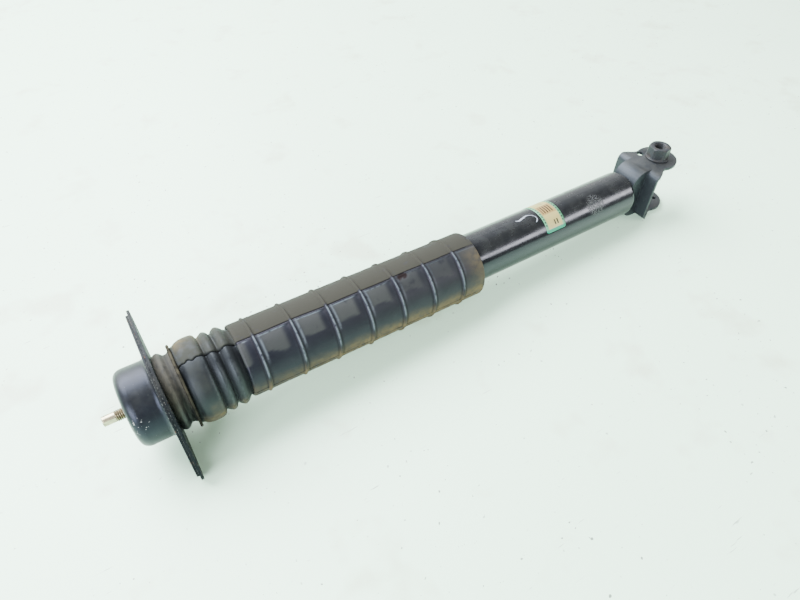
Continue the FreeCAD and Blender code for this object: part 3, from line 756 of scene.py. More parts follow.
class ShockColours(bpy.types.PropertyGroup):
    """Colours that a user would change"""
    bracket: paint_setting("Bracket paint", "Electrocoat on plates and can", "090a0d")
    fork: paint_setting("Fork paint", "Electrocoat on the fork, dulled by road dirt", "1c1e21")
    tube: paint_setting("Tube paint", "Gloss enamel on the body tube", "050609")
    rubber: paint_setting("Rubber", "Cushions and bellows", "0e0f12")
    cover: paint_setting("Cover plastic", "Dust cover where it is clean", "0b0d13")
    dust: paint_setting("Road dust", "Grey dust baked on top", "26261e")
    clay: paint_setting("Clay", "Tan dirt on crests and along the bottom", "544a33")
    floor: paint_setting("Floor", "Plain floor under the shock", "cbeed2")


def length_of(name):
    """One of the lengths set above, in millimetres, rounded to what a setting can hold."""
    return round(getattr(bpy.context.scene.shock_shape, name) / MM, 4)


def angle_of(name):
    """One of the angles set above, in degrees, rounded to what a setting can hold."""
    return round(math.degrees(getattr(bpy.context.scene.shock_shape, name)), 4)


def rib_count():
    return int(bpy.context.scene.shock_shape.rib_count)


def colours():
    return bpy.context.scene.shock_colours


# ---- pieces ----
class SHOCK_OT_metalwork(bpy.types.Operator):
    """Finish the CAD pieces and dress the pressed and turned metal"""
    bl_idname = "shock.metalwork"
    bl_label = "Metalwork"

    def execute(self, context):
        enamel = bracket_enamel("Satin black electrocoat", colours().fork, 0.46, 0.34)
        flat = bracket_enamel("Dulled electrocoat on plates", colours().bracket, 0.62, 0.14)
        by_slot = inner_finishes()
        by_slot.update({"bracket_paint": enamel, "tube_paint": tube_enamel(),
                        "phosphated_steel": phosphate(), "plated_steel": zinc_plate(),
                        "chromed_rod": hard_chrome()})
        for entry in frame["record"]["subparts"]:
            found = by_slot.get(entry["material_slot"])
            if found:
                NODES[entry["node"]].data.materials.clear()
                NODES[entry["node"]].data.materials.append(found)
        NODES["mount_can"].data.materials.clear()
        NODES["mount_can"].data.materials.append(can_enamel())
        wide = length_of("edge_break")
        for node, body, coat in (("fork_bracket", DAMPER, enamel), ("mount_plate", MOUNT, flat),
                                 ("rod_side_plate", MOUNT, flat)):
            made = dressed_copy(node, wide, coat)
            settle(made, body, stands_for=(node,))
        return {"FINISHED"}


def hex_nut(name, across, low, high, bore, pitch, material, matrix=None, pad=None):
    """Chamfered hexagonal nut with a real thread in its bore, and a round pad if given."""
    turns = np.arange(0.0, 360.0, TURN_STEP)
    corner = across / math.sqrt(3)
    hexed = hexagon_radius(turns, across, 0.35)
    rows = []
    if pad:
        pad_r, pad_h = pad
        rows += [(pad_r - 0.8, low), (pad_r - 0.2, low + 0.25), (pad_r, low + 0.8),
                 (pad_r - 0.1, low + pad_h - 0.6), (pad_r - 0.7, low + pad_h)]
        rows += [(np.minimum(hexed + 0.3, pad_r - 0.8), low + pad_h + 0.05),
                 (hexed, low + pad_h + 0.5)]
    else:
        for step in np.linspace(0, 1, 5):
            reached = across / 2 - 0.2 + step * (corner - across / 2 + 0.3)
            rows.append((np.minimum(hexed, reached), low + 1.4 * step ** 1.5))
    for step in np.linspace(1, 0, 7):
        reached = across / 2 - 0.3 + step * (corner - across / 2 + 0.4)
        rows.append((np.minimum(hexed, reached), high - 0.1 - 1.7 * step ** 1.4))
    rows += [(across / 2 - 1.0, high), (bore + 1.3, high), (bore + 1.0, high - 0.1)]
    for h in np.arange(high - 1.0, low + 0.9, -pitch / THREAD_STEPS):
        rows.append((bore + THREAD_DEPTH * pitch * (1 - thread_wave(turns, h, pitch)), h))
    rows += [(bore + 0.6, low + 0.1), (bore + 1.0, low)]
    radii = np.array([r + np.zeros(len(turns)) for r, _ in rows])
    heights = np.array([[h] for _, h in rows])
    bare = {"edge": 0 * radii, "crease": 0 * radii}
    made = turned_piece(name, turns, radii, heights, bare, matrix=matrix)
    made.data.set_sharp_from_angle(angle=math.radians(32))
    made.data.materials.append(material)
    return made


class SHOCK_OT_fasteners(bpy.types.Operator):
    """Weld nut, rod nut and the threaded, flatted stud"""
    bl_idname = "shock.fasteners"
    bl_label = "Nuts and stud"

    def execute(self, context):
        dark = bpy.data.materials["Manganese phosphate"]
        plate = bpy.data.materials["Yellow passivated zinc"]
        chrome = bpy.data.materials["Hard chrome"]
        nut = own_points("weld_nut")
        seat, top = nut[:, 0].min(), nut[:, 0].max()
        upright = Matrix(((0, 0, 1, seat), (0, 1, 0, 0), (-1, 0, 0, 0), (0, 0, 0, 1)))
        swing = Matrix.Rotation(math.radians(12), 4, "Z")
        made = hex_nut("weld_nut_threaded", WELD_NUT_ACROSS, 0.0, top - seat, WELD_NUT_BORE,
                       length_of("bolt_pitch"), dark, upright @ swing, WELD_NUT_PAD)
        settle(made, DAMPER, stands_for=("weld_nut",))
        low, high = span("rod_nut")
        made = hex_nut("rod_nut_threaded", ROD_NUT_ACROSS, low, high, ROD_NUT_BORE,
                       length_of("stud_pitch"), plate)
        settle(made, MOUNT, stands_for=("rod_nut",))
        self.make_rod(plate, chrome, high)
        self.make_seat(blackened_washer())
        return {"FINISHED"}

    def make_seat(self, dark):
        """The pressed washer that the bellows hangs from, its edge rolled over a little."""
        low, high = span("seat_washer")
        rim = reach("seat_washer")
        bore = np.hypot(*own_points("seat_washer")[:, :2].T).min() + 0.02
        turns = np.arange(0.0, 360.0, TURN_STEP)
        half = [(0.0, bore), (0.0, rim - 6), (0.0, rim - 1.1), (0.3, rim - 0.35), (0.95, rim)]
        profile = [(r, low + rise) for rise, r in half]
        profile += [(r, high - rise) for rise, r in half[::-1]]
        radii, heights = flat_rows(profile, turns)
        edge = (radii > rim - 0.5) * (0.35 + 0.6 * eased(np.cos(np.radians(turns)), 0.2, 0.9))
        seat = turned_piece("seat_washer_rolled", turns, radii, heights, {"edge": edge})
        settle(seat, MOUNT, dark, ("seat_washer",))

    def make_rod(self, plate, chrome, nut_top):
        """The threaded stud with two flats, and the chromed shaft with its ring groove."""
        foot, tip = span("piston_rod")
        shoulder = span("seat_washer")[0]
        stud_r, rod_r = STUD_RADIUS, ROD_RADIUS
        flat_end = tip - STUD_FLAT_LONG
        turns = np.arange(0.0, 360.0, 4.0)
        crest = stud_r - 0.05
        rows = [(3.6, shoulder + 0.4), (crest, shoulder + 0.41), (crest, nut_top - 9.0)]
        pitch = length_of("stud_pitch")
        grooves = [0.0, 0.0, 0.0]
        for h in np.arange(nut_top - 8.6, flat_end - 0.3, pitch / THREAD_STEPS):
            wave = thread_wave(turns, h, pitch)
            rows.append((crest - THREAD_DEPTH * pitch * (1 - wave), h))
            grooves.append(1 - wave)
        thin = stud_r - 0.65
        for h in (flat_end, flat_end + 0.3, *np.linspace(flat_end + 0.7, tip - 0.6, 8)):
            rows.append((thin, h))
            grooves.append(0.0)
        rows += [(thin - 0.15, tip - 0.25), (thin - 0.6, tip)]
        grooves += [0.0, 0.0]
        radii = np.array([r + np.zeros(len(turns)) for r, _ in rows])
        heights = np.array([[h] for _, h in rows])
        limit = STUD_HALF_FLAT / np.maximum(np.abs(np.sin(np.radians(turns))), 1e-3)
        cut = eased(heights, flat_end + 0.2, flat_end + 0.8)
        radii = np.where(radii > limit[None], radii * (1 - cut) + limit[None] * cut, radii)
        # painted shade in the thread roots, strongest at the root
        crease = np.array([g + np.zeros(len(turns)) for g in grooves]) * 0.85
        stud = turned_piece("rod_stud_threaded", turns, radii, heights, {"crease": crease},
                            poles=True)
        stud.data.set_sharp_from_angle(angle=math.radians(40))
        settle(stud, MOUNT, plate)
        ring_low, ring_high = span("stop_ring")
        seat = span("piston_washer")[1]
        end = span("piston_nut")[0]
        profile = [(0.5, foot), (stud_r - 1, foot), (stud_r, foot + 1), (stud_r, end),
                   (stud_r, seat), (rod_r, seat + 0.01), (rod_r, ring_low),
                   (rod_r - 0.8, ring_low + 0.01), (rod_r - 0.8, ring_high),
                   (rod_r, ring_high + 0.01)]
        profile += [(rod_r, h) for h in np.linspace(ring_high + 10, shoulder - 0.6, 12)]
        profile += [(rod_r - 0.4, shoulder), (stud_r, shoulder + 0.01),
                    (stud_r - 0.1, shoulder + 0.4), (0.5, shoulder + 0.41)]
        shaft = turned_piece("rod_shaft", turns, *flat_rows(profile, turns), poles=True)
        shaft.data.set_sharp_from_angle(angle=math.radians(30))
        settle(shaft, MOUNT, chrome, ("piston_rod",))


class SHOCK_OT_cushions(bpy.types.Operator):
    """Rubber mount cushions and the foam bump stop"""
    bl_idname = "shock.cushions"
    bl_label = "Cushions and bump stop"

    def execute(self, context):
        rubber = moulded_rubber()
        turns = np.arange(0.0, 360.0, TURN_STEP)
        low, high = span("lower_cushion")
        face = span("mount_plate")[0]
        sleeve = reach("spacer_sleeve")
        outer = [(32.2, low + 0.05), (31.6, low + 0.9), (30.9, low + 2.2), (31.0, low + 4.6),
                 (33.6, low + 7.2), (34.3, low + 9.6), (33.3, low + 12.2), (32.0, face - 0.05)]
        wall = curve_through(outer, 0.5)
        spigot = [(17.0, face - 0.05), (16.9, high), (sleeve + 0.05, high),
                  (sleeve + 0.05, low + 0.05)]
        profile = np.vstack([wall, spigot])
        radii, heights = flat_rows(profile, turns)
        skin = (np.arange(len(profile)) < len(wall))[:, None]
        waist = hump(heights, low + 3.2, 1.4) * skin
        flash = hump(turns[None] % 180, 62, 1.2)
        radii = radii + 0.12 * (ripple(turns[None], heights, 3, 9) - 1 + flash) * skin
        # the waist groove is darkened as painted shade
        made = turned_piece("lower_cushion_moulded", turns, radii, heights, {"crease": 0.7 * waist})
        settle(made, MOUNT, rubber, ("lower_cushion",))
        low, high = span("upper_cushion")
        inner = reach("upper_cushion") - 0.05
        profile = [(sleeve + 0.05, low), (inner, low), (inner, high - 3.5),
                   (inner - 0.8, high - 2.0), (inner - 2.8, high - 0.8), (21.0, high),
                   (17.5, high - 1.6), (15.0, high - 3.8), (sleeve + 0.05, high - 3.0)]
        radii, heights = flat_rows(profile, turns)
        made = turned_piece("upper_cushion_moulded", turns, radii, heights, {"crease": 0 * radii})
        settle(made, MOUNT, rubber, ("upper_cushion",))
        self.make_bump_stop(turns)
        return {"FINISHED"}

    def make_bump_stop(self, turns):
        """Foam stop with three rings and a tapered nose."""
        low, high = span("bump_stop")
        bore, ring, rings = 6.65, 13.0, 3
        outer = [(20.0, high)]
        for k in range(rings):
            outer += [(radius, high - (k + share) * ring)
                      for radius, share in ((21.3, 0.25), (21.5, 0.5), (19.0, 0.85), (16.5, 1.0))]
        nose = high - rings * ring
        outer += [(18.4, nose - 4.5), (16.5, nose - 9.0), (13.5, low)]
        wall = curve_through(outer, 1.0)
        profile = np.vstack([wall, [(bore, low)], [(bore, high)]])
        radii, heights = flat_rows(profile, turns)
        skin = (np.arange(len(profile)) < len(wall))[:, None]
        radii = radii + (0.25 * ripple(turns[None], heights, 5, 14) - 0.25) * skin
        made = turned_piece("bump_stop_foam", turns, radii, heights)
        settle(made, MOUNT, bump_foam(), ("bump_stop",))


class SHOCK_OT_bellows(bpy.types.Operator):
    """Rubber bellows under the seat washer, dusty and cracked along its top seam"""
    bl_idname = "shock.bellows"
    bl_label = "Bellows"

    def execute(self, context):
        top = span("seat_washer")[0] - 0.03
        turns = turns_with(TURN_STEP, (-24, 4, 0.5), (-112, -96, 1.0))
        outer = [(34.4, 0.0), (35.2, 2.2), (36.9, 5.2), (38.0, 9.5), (38.25, 14.0), (37.9, 18.2),
                 (36.4, 20.6), (33.4, 22.1), (34.9, 24.6), (36.5, 27.6), (35.2, 30.6), (32.3, 32.9),
                 (34.6, 35.6), (36.1, 38.6), (34.9, 41.6), (32.1, 44.4), (31.0, 46.2), (30.5, 48.0),
                 (30.2, 54.4)]
        wall = curve_through(outer, 0.55)
        inner = curve_through([(r - BELLOWS_WALL, d) for r, d in outer[::-1]][:-2], 1.6)
        roof = [(32.0, 2.0), (BELLOWS_BORE, 2.0), (BELLOWS_BORE, 0.0)]
        profile = np.vstack([wall, inner, roof])
        skin = (np.arange(len(profile)) < len(wall))[:, None]
        radii, drop = flat_rows(profile, turns)
        t = turns[None]
        seam = -12.0 + 1.4 * np.sin(drop * 0.9) * hump(drop, 9, 8) + 0.8 * np.sin(drop * 0.31 + 1)
        seam = seam - 2.5 * hump(drop, 0, 3)
        valleys = hump(drop, 22.6, 2.4) + hump(drop, 33.4, 2.6) + 0.6 * hump(drop, 44.5, 3.0)
        width = 0.7 + 2.6 * np.clip(valleys, 0, 1)
        crack = hump(t, seam - 0.4 * width, width) * (drop < 47)
        front = between(t, -104.0, seam - 0.6, 1.0)
        loose = between(t, seam + 0.3, seam + 14, 3.0)
        uneven = 0.16 * ripple(t, drop, 11, 12)
        radii = radii + skin * (uneven - 0.25 - 0.55 * front - 1.1 * crack + 0.2 * loose)
        first = between(drop, 2.0, 21.5, 1.5)
        crests = hump(drop, 28.0, 3.0) + hump(drop, 38.5, 3.0) + first
        dust = eased(t, seam - 0.5, seam + 0.5) * (1 - eased(t, 150, 178)) * (0.9 - 0.25 * valleys)
        dust = dust + (1 - eased(t, -172, -150)) * 0.5
        wiped = front * between(drop, 5, 17, 2) * between(t, -60, -14, 10)
        clay = 0.95 * eased(t, 0, 34) * first * hump(drop, 6.5, 7.5)
        clay = clay + 0.8 * hump(drop, 21.5, 3.0) * eased(t, 0, 40)
        clay = clay + 0.5 * eased(t, 20, 60) * crests * (1 - eased(t, 120, 160))
        clay = clay + 0.6 * between(t, -155, -100, 7) * crests
        clay = clay + 0.25 * between(t, -112, -80, 8) * between(drop, 10, 21, 2)
        # painted highlight along the front's fold crests
        rub_and_highlight = 0.8 * front * (hump(drop, 19.2, 1.1) + hump(drop, 28.3, 0.9) + hump(drop, 38.8, 0.9))
        # painted shade in the seam crack and the front's fold valleys
        crease = crack + 0.6 * skin * np.clip(valleys, 0, 1) * front
        marks = {"dust": dust + 0.35 * wiped, "clay": clay, "rub_and_highlight": rub_and_highlight, "crease": crease}
        made = turned_piece("dust_boot_bellows", turns, radii, top - drop,
                            {key: np.clip(values, 0, 1) * skin for key, values in marks.items()})
        settle(made, MOUNT, boot_rubber(), ("dust_boot",))
        return {"FINISHED"}


class SHOCK_OT_cover(bpy.types.Operator):
    """Ribbed plastic dust cover that sags a little on the bellows"""
    bl_idname = "shock.cover"
    bl_label = "Dust cover"

    def execute(self, context):
        tilt, length = self.tilt()
        plastic = cover_plastic()
        made = self.make_shell(tilt, length)
        settle(made, MOUNT, plastic, ("dust_cover",))
        ribs = self.make_ribs(tilt, plastic)
        settle(ribs, MOUNT)
        return {"FINISHED"}

    def tilt(self):
        """Matrix that hangs the cover from its upper end as the CAD node does, and its length."""
        pts = own_points("dust_cover")
        low, high = pts[:, 2].min(), pts[:, 2].max()
        ends = [pts[np.abs(pts[:, 2] - h) < 2.0] for h in (low, high)]
        centres = [(end.min(axis=0) + end.max(axis=0)) / 2 for end in ends]
        out, _, rise = centres[1] - centres[0]
        lean = math.atan2(out, rise)
        length = (high - low) - 2 * COVER_END_REACH * math.sin(lean)
        top = high - COVER_TOP_REACH * math.sin(lean)
        turn = Matrix.Rotation(lean, 4, "Y")
        return Matrix.Translation((0, 0, top)) @ turn, length

    def make_shell(self, tilt, length):
        """The cover's wall, with its parting lines, sunk panels, tear and painted marks."""
        radius, neck = COVER_RADIUS, COVER_NECK
        bore = radius - COVER_WALL
        seam, low_seam = angle_of("seam_turn"), angle_of("lower_seam_turn")
        turns = turns_with(TURN_STEP, (seam - 6, seam + 5, 0.5), (low_seam - 4, low_seam + 5, 0.6))
        outer = [(radius - 1.9, 0.0), (radius - 0.9, 0.3), (radius - 0.25, 1.0)]
        outer += [(radius, d) for d in np.arange(2.2, length - 1.0, 1.7)]
        outer += [(radius, length - 0.8), (radius - 0.25, length - 0.2), (radius - 0.7, length)]
        inner = [(bore + 0.2, length), (bore, length - 0.8)]
        inner += [(bore, d) for d in np.linspace(length - 8, 4.0, 30)] + [(neck, 1.6), (neck, 0.1)]
        profile = np.vstack([outer, inner])
        skin = (np.arange(len(profile)) < len(outer))[:, None]
        radii, drop = flat_rows(profile, turns)
        t = turns[None]
        # where a point lies: its bay between two ribs, and the front between the parting lines
        first, pitch, count = length_of("rib_first"), length_of("rib_pitch"), rib_count()
        last = first + pitch * (count - 1)
        along = (drop - first) / pitch
        bay = np.clip((along - np.floor(along)) * pitch, 0, pitch)
        line = seam + 0.5 * np.sin(drop / 23.0) + 0.35 * np.sin(drop / 9.0 + 2)
        low_line = low_seam + 0.8 * np.sin(drop / 31.0 + 1)
        front = between(t, low_line, line, 0.5)
        # shape
        groove = hump(t, line - 0.4, 0.55) + 0.8 * hump(t, low_line, 0.7)
        groove = np.clip(groove, 0, 1) * (drop < length - 9.0)
        panel = between(t, low_line + 5, line - 4.5, 1.2) * between(bay, 4.4, pitch - 3.6, 0.9)
        panel = panel * (drop > first) * (drop < last)
        hole = hump(t, seam - 4.5, 6.5) * hump(drop, first + 4 * pitch + 10.0, 6.5)
        hole = eased(hole + 0.25 * ripple(t * 3, drop, 21, 5), 0.45, 0.62)
        dent = 0.3 * ripple(t, drop, 17, 45) + 0.1 * ripple(t, drop, 18, 15)
        sunk = 0.25 + 0.28 * front + 0.4 * panel + 0.55 * groove + 0.45 * hole
        radii = radii + skin * (0.3 * dent - sunk)
        notch = 2.4 * hump(t, 3.0, 1.6) * (drop > length - 1.5)
        # dust on top, thin and patchy down the back
        thin = eased(t, 48, 105) * (0.45 + 0.4 * ripple(t, drop, 53, 38)) + 0.25 * eased(t, 48, 90)
        dust = eased(t, line - 0.3, line + 0.5) * (1 - eased(t, 120, 170))
        dust = dust * (1 - np.clip(thin, 0, 0.85))
        # haze in each panel's upper part, and rubbed edges beside the ribs and the seam, lightened as painted
        # highlights
        fringe = -46 + 9 * ripple(t, drop, 29, 40)
        patch = between(t, fringe, line - 4.2, 1.5) * between(bay, 4.8, 25, 2.5)
        patch = patch * (1 - 0.6 * eased(drop, 110, 190))
        haze = front * (0.25 * eased(drop, 0, length) + 0.85 * patch)
        foot = between(bay, 2.8, 4.6, 0.5)
        corner = foot * between(t, -56, line - 3, 9)
        corner = corner + between(t, line - 5.2, line - 3.4, 0.7) * between(bay, 3.0, 27, 3)
        rub_and_highlight = np.clip(corner, 0, 1) * front * (drop > 4) * (1 - 0.75 * eased(drop, 90, 170))
        rub_and_highlight = rub_and_highlight + 0.6 * between(t, 88, 165, 14) * foot * (drop > 4)
        # tan dirt along the bottom, thicker towards the open end
        clay = 1 - eased(t, low_line + 1, -78 + 8 * ripple(t, drop, 41, 30))
        clay = clay * eased(t, -178, -155) * (0.45 + 0.55 * eased(drop, 20, 110))
        clay = clay + 0.5 * hump(drop, length, 14) * between(t, -120, -20, 10)
        # painted shade: dark lines at the rib roots, added to the seam grooves below
        roots = hump(bay, RIB_ROOT, 0.55) + hump(bay, pitch - RIB_ROOT, 0.55)
        roots = roots * (drop > first - 5) * (drop < last + 5) * between(t, low_line, line, 0.8)
        marks = {"dust": dust, "haze": haze, "rub_and_highlight": rub_and_highlight, "clay": clay, "tear": hole,
                 "crease": groove + 0.55 * roots}
        painted = {key: np.clip(values, 0, 1) * skin if key in ("dust", "clay", "crease")
                   else values * skin for key, values in marks.items()}
        return turned_piece("dust_cover_shell", turns, radii, notch - drop, painted, matrix=tilt)

    def make_ribs(self, tilt, material):
        """Hoops with a flared foot, swept by a geometry tree and spaced along the cover."""
        sizes = {"Count": rib_count(), "Pitch": length_of("rib_pitch"),
                 "First": length_of("rib_first"), "Radius": RIB_RADIUS,
                 "Half width": length_of("rib_half"), "Height": RIB_HEIGHT, "Plastic": material}
        tree, given, result = geometry_tree("cover_ribs", sizes)
        ask = given.outputs
        ring = add(tree, "GeometryNodeCurvePrimitiveCircle",
                   {"Resolution": 144, "Radius": ask["Radius"]})
        disc = add(tree, "GeometryNodeCurvePrimitiveCircle", {"Resolution": 22, "Radius": 1.0})
        # the section: a cubed height gives the foot its flare, and its lower half sinks in
        place = add(tree, "GeometryNodeInputPosition")
        axes = add(tree, "ShaderNodeSeparateXYZ", {0: place.outputs[0]}).outputs
        cube = add(tree, "ShaderNodeMath", {0: axes["Y"], 1: 3.0}, operation="POWER")
        risen = add(tree, "ShaderNodeMath", {0: cube.outputs[0], 1: ask["Height"]},
                    operation="MULTIPLY")
        sunk = add(tree, "ShaderNodeMath", {0: axes["Y"], 1: 0.4}, operation="MULTIPLY")
        above = add(tree, "ShaderNodeMath", {0: axes["Y"], 1: 0.0}, operation="GREATER_THAN")
        tall = add(tree, "ShaderNodeMix", {0: above.outputs[0], 2: sunk.outputs[0],
                                           3: risen.outputs[0]}, data_type="FLOAT")
        wide = add(tree, "ShaderNodeMath", {0: axes["X"], 1: ask["Half width"]},
                   operation="MULTIPLY")
        moved = add(tree, "ShaderNodeCombineXYZ", {"X": tall.outputs[0], "Y": wide.outputs[0]})
        section = add(tree, "GeometryNodeSetPosition", {"Geometry": disc.outputs["Curve"],
                                                        "Position": moved.outputs[0]})
        hoop = add(tree, "GeometryNodeCurveToMesh", {"Curve": ring.outputs["Curve"],
                                                     "Profile Curve": section.outputs[0]})
        # one hoop at each step down the cover
        step = add(tree, "ShaderNodeMath", {0: ask["Pitch"], 1: -1.0}, operation="MULTIPLY")
        start = add(tree, "ShaderNodeMath", {0: ask["First"], 1: -1.0}, operation="MULTIPLY")
        offset = add(tree, "ShaderNodeCombineXYZ", {"Z": step.outputs[0]})
        origin = add(tree, "ShaderNodeCombineXYZ", {"Z": start.outputs[0]})
        line = add(tree, "GeometryNodeMeshLine", {"Count": ask["Count"],
                                                  "Start Location": origin.outputs[0],
                                                  "Offset": offset.outputs[0]})
        copies = add(tree, "GeometryNodeInstanceOnPoints", {"Points": line.outputs[0],
                                                            "Instance": hoop.outputs[0]})
        close_tree(tree, copies, ask["Plastic"], result)
        ribs = grown("dust_cover_ribs", tree, sizes, tilt)
        self.paint_ribs(ribs, tilt)
        return ribs

    def paint_ribs(self, ribs, tilt):
        """Puts dust and clay on the ribs as on the shell, a painted highlight along their crests and painted shade
        where the seam crosses them, and keeps their faces outwards.
        """
        mesh = ribs.data
        work = bmesh.new()
        work.from_mesh(mesh)
        bmesh.ops.recalc_face_normals(work, faces=work.faces)
        work.to_mesh(mesh)
        work.free()
        back = (TO_ROW @ tilt).inverted()
        local = np.array([back @ v.co for v in mesh.vertices])
        t = np.degrees(np.arctan2(local[:, 1], local[:, 0]))
        seam, low_seam = angle_of("seam_turn"), angle_of("lower_seam_turn")
        dust = eased(t, seam - 0.5, seam + 0.5) * (1 - eased(t, 120, 170))
        dust = dust * (1 - 0.55 * eased(t, 48, 105))
        clay = (1 - eased(t, low_seam, -80)) * eased(t, -176, -150)
        # painted highlight along the rib crests on the front
        rub_and_highlight = between(t, -80, seam, 4) * eased(np.hypot(local[:, 0], local[:, 1]), 34.2, 34.8)
        # painted shade where the seam groove crosses the ribs
        none, crease = 0 * t, 0.8 * hump(t, seam, 0.8)
        for key, values in (("dust", dust), ("clay", clay), ("rub_and_highlight", rub_and_highlight), ("haze", none),
                            ("tear", none), ("crease", crease)):
            layer = mesh.attributes.new(key, "FLOAT", "POINT")
            layer.data.foreach_set("value", np.clip(values, 0, 1).astype(np.float32))


class SHOCK_OT_tube_marks(bpy.types.Operator):
    """Printed label and the dab of inspection paint on the tube"""
    bl_idname = "shock.tube_marks"
    bl_label = "Label and paint dab"

    def execute(self, context):
        low, high = span("label")
        pts = own_points("label")
        radius = reach("label")
        turn = np.degrees(np.arctan2(pts[:, 1], pts[:, 0]))
        start, end = turn.min(), turn.max()
        made = self.make_label(radius, start, end, low, high)
        settle(made, DAMPER, label_film(), ("label",))
        dab = self.make_dab(reach("outer_tube"), high)
        settle(dab, DAMPER, paint_dab())
        return {"FINISHED"}

    def make_label(self, radius, start, end, low, high):
        """Thin curved sheet with rounded corners, its map in millimetres."""
        cols, rows = 64, 14
        long = math.radians(end - start) * radius
        far = np.linspace(0, long, cols)
        corner = 2.0
        inset = np.minimum(far, long - far)
        arc = np.sqrt(np.maximum(corner ** 2 - (corner - inset) ** 2, 0))
        cut = np.where(inset < corner, corner - arc, 0)
        share = np.linspace(0, 1, rows)[:, None]
        heights = low + cut[None] + share * (high - low - 2 * cut[None])
        angle = np.radians(start) + far[None] / radius + 0 * heights
        sheets = []
        for r in (radius, radius - 0.12):
            sheet = np.stack([r * np.cos(angle), r * np.sin(angle), heights], -1)
            sheets.append(sheet.reshape(-1, 3))
        wrap = np.stack([far[None] + 0 * heights, heights - low], -1).reshape(-1, 2)
        count = rows * cols
        faces = []
        for k in range(rows - 1):
            for j in range(cols - 1):
                a = k * cols + j
                quad = [a, a + 1, a + cols + 1, a + cols]
                faces += [quad, [count + q for q in quad[::-1]]]
        rim = list(range(cols)) + [cols * k - 1 for k in range(2, rows + 1)]
        rim += list(range(count - 2, count - cols - 1, -1))
        rim += [cols * k for k in range(rows - 2, 0, -1)]
        for a, b in zip(rim, rim[1:] + rim[:1]):
            faces.append([a, count + a, count + b, b])
        return piece_from("label_film", np.vstack(sheets), faces, wrap=np.vstack([wrap, wrap]))

    def make_dab(self, radius, label_high):
        """Two joined brush strokes that lie on the tube beside the label."""
        draw = np.random.default_rng(31)
        stroke = curve_through([(-2.5, 27.5), (-1.0, 24.0), (-2.0, 19.0), (-3.5, 12.0),
                                (-1.0, 6.5), (3.0, 4.0), (6.5, 5.0), (8.0, 7.5)], 0.6)
        along = np.linspace(0, 1, len(stroke))
        taper = 0.4 + 0.6 * np.sin(np.pi * np.clip(along * 0.96 + 0.02, 0, 1)) ** 0.4
        width = 0.75 + 0.35 * np.sin(along * 7) + 0.1 * draw.standard_normal(len(stroke))
        width = width * taper
        ahead = np.gradient(stroke, axis=0)
        side = np.stack([-ahead[:, 1], ahead[:, 0]], 1) / np.linalg.norm(ahead, axis=1)[:, None]
        # the stroke's section: across as a share of its half width, and its height off the tube
        section = ((-1.0, 0.02), (-0.7, 0.12), (0.0, 0.2), (0.7, 0.12), (1.0, 0.02), (0.0, -0.15))
        rows = len(section)
        points = []
        for centre, across, half in zip(stroke, side, width):
            for share, lift in section:
                arc, height = centre + across * half * share
                angle = math.radians(-6.0) - arc / radius
                r = radius + lift
                points.append((r * math.cos(angle), r * math.sin(angle), label_high + height))
        faces = []
        for k in range(len(stroke) - 1):
            for j in range(rows):
                a, b = k * rows + j, k * rows + (j + 1) % rows
                faces.append([a, b, b + rows, a + rows])
        faces += [list(range(rows))[::-1], [(len(stroke) - 1) * rows + j for j in range(rows)]]
        return piece_from("paint_dab", points, faces)


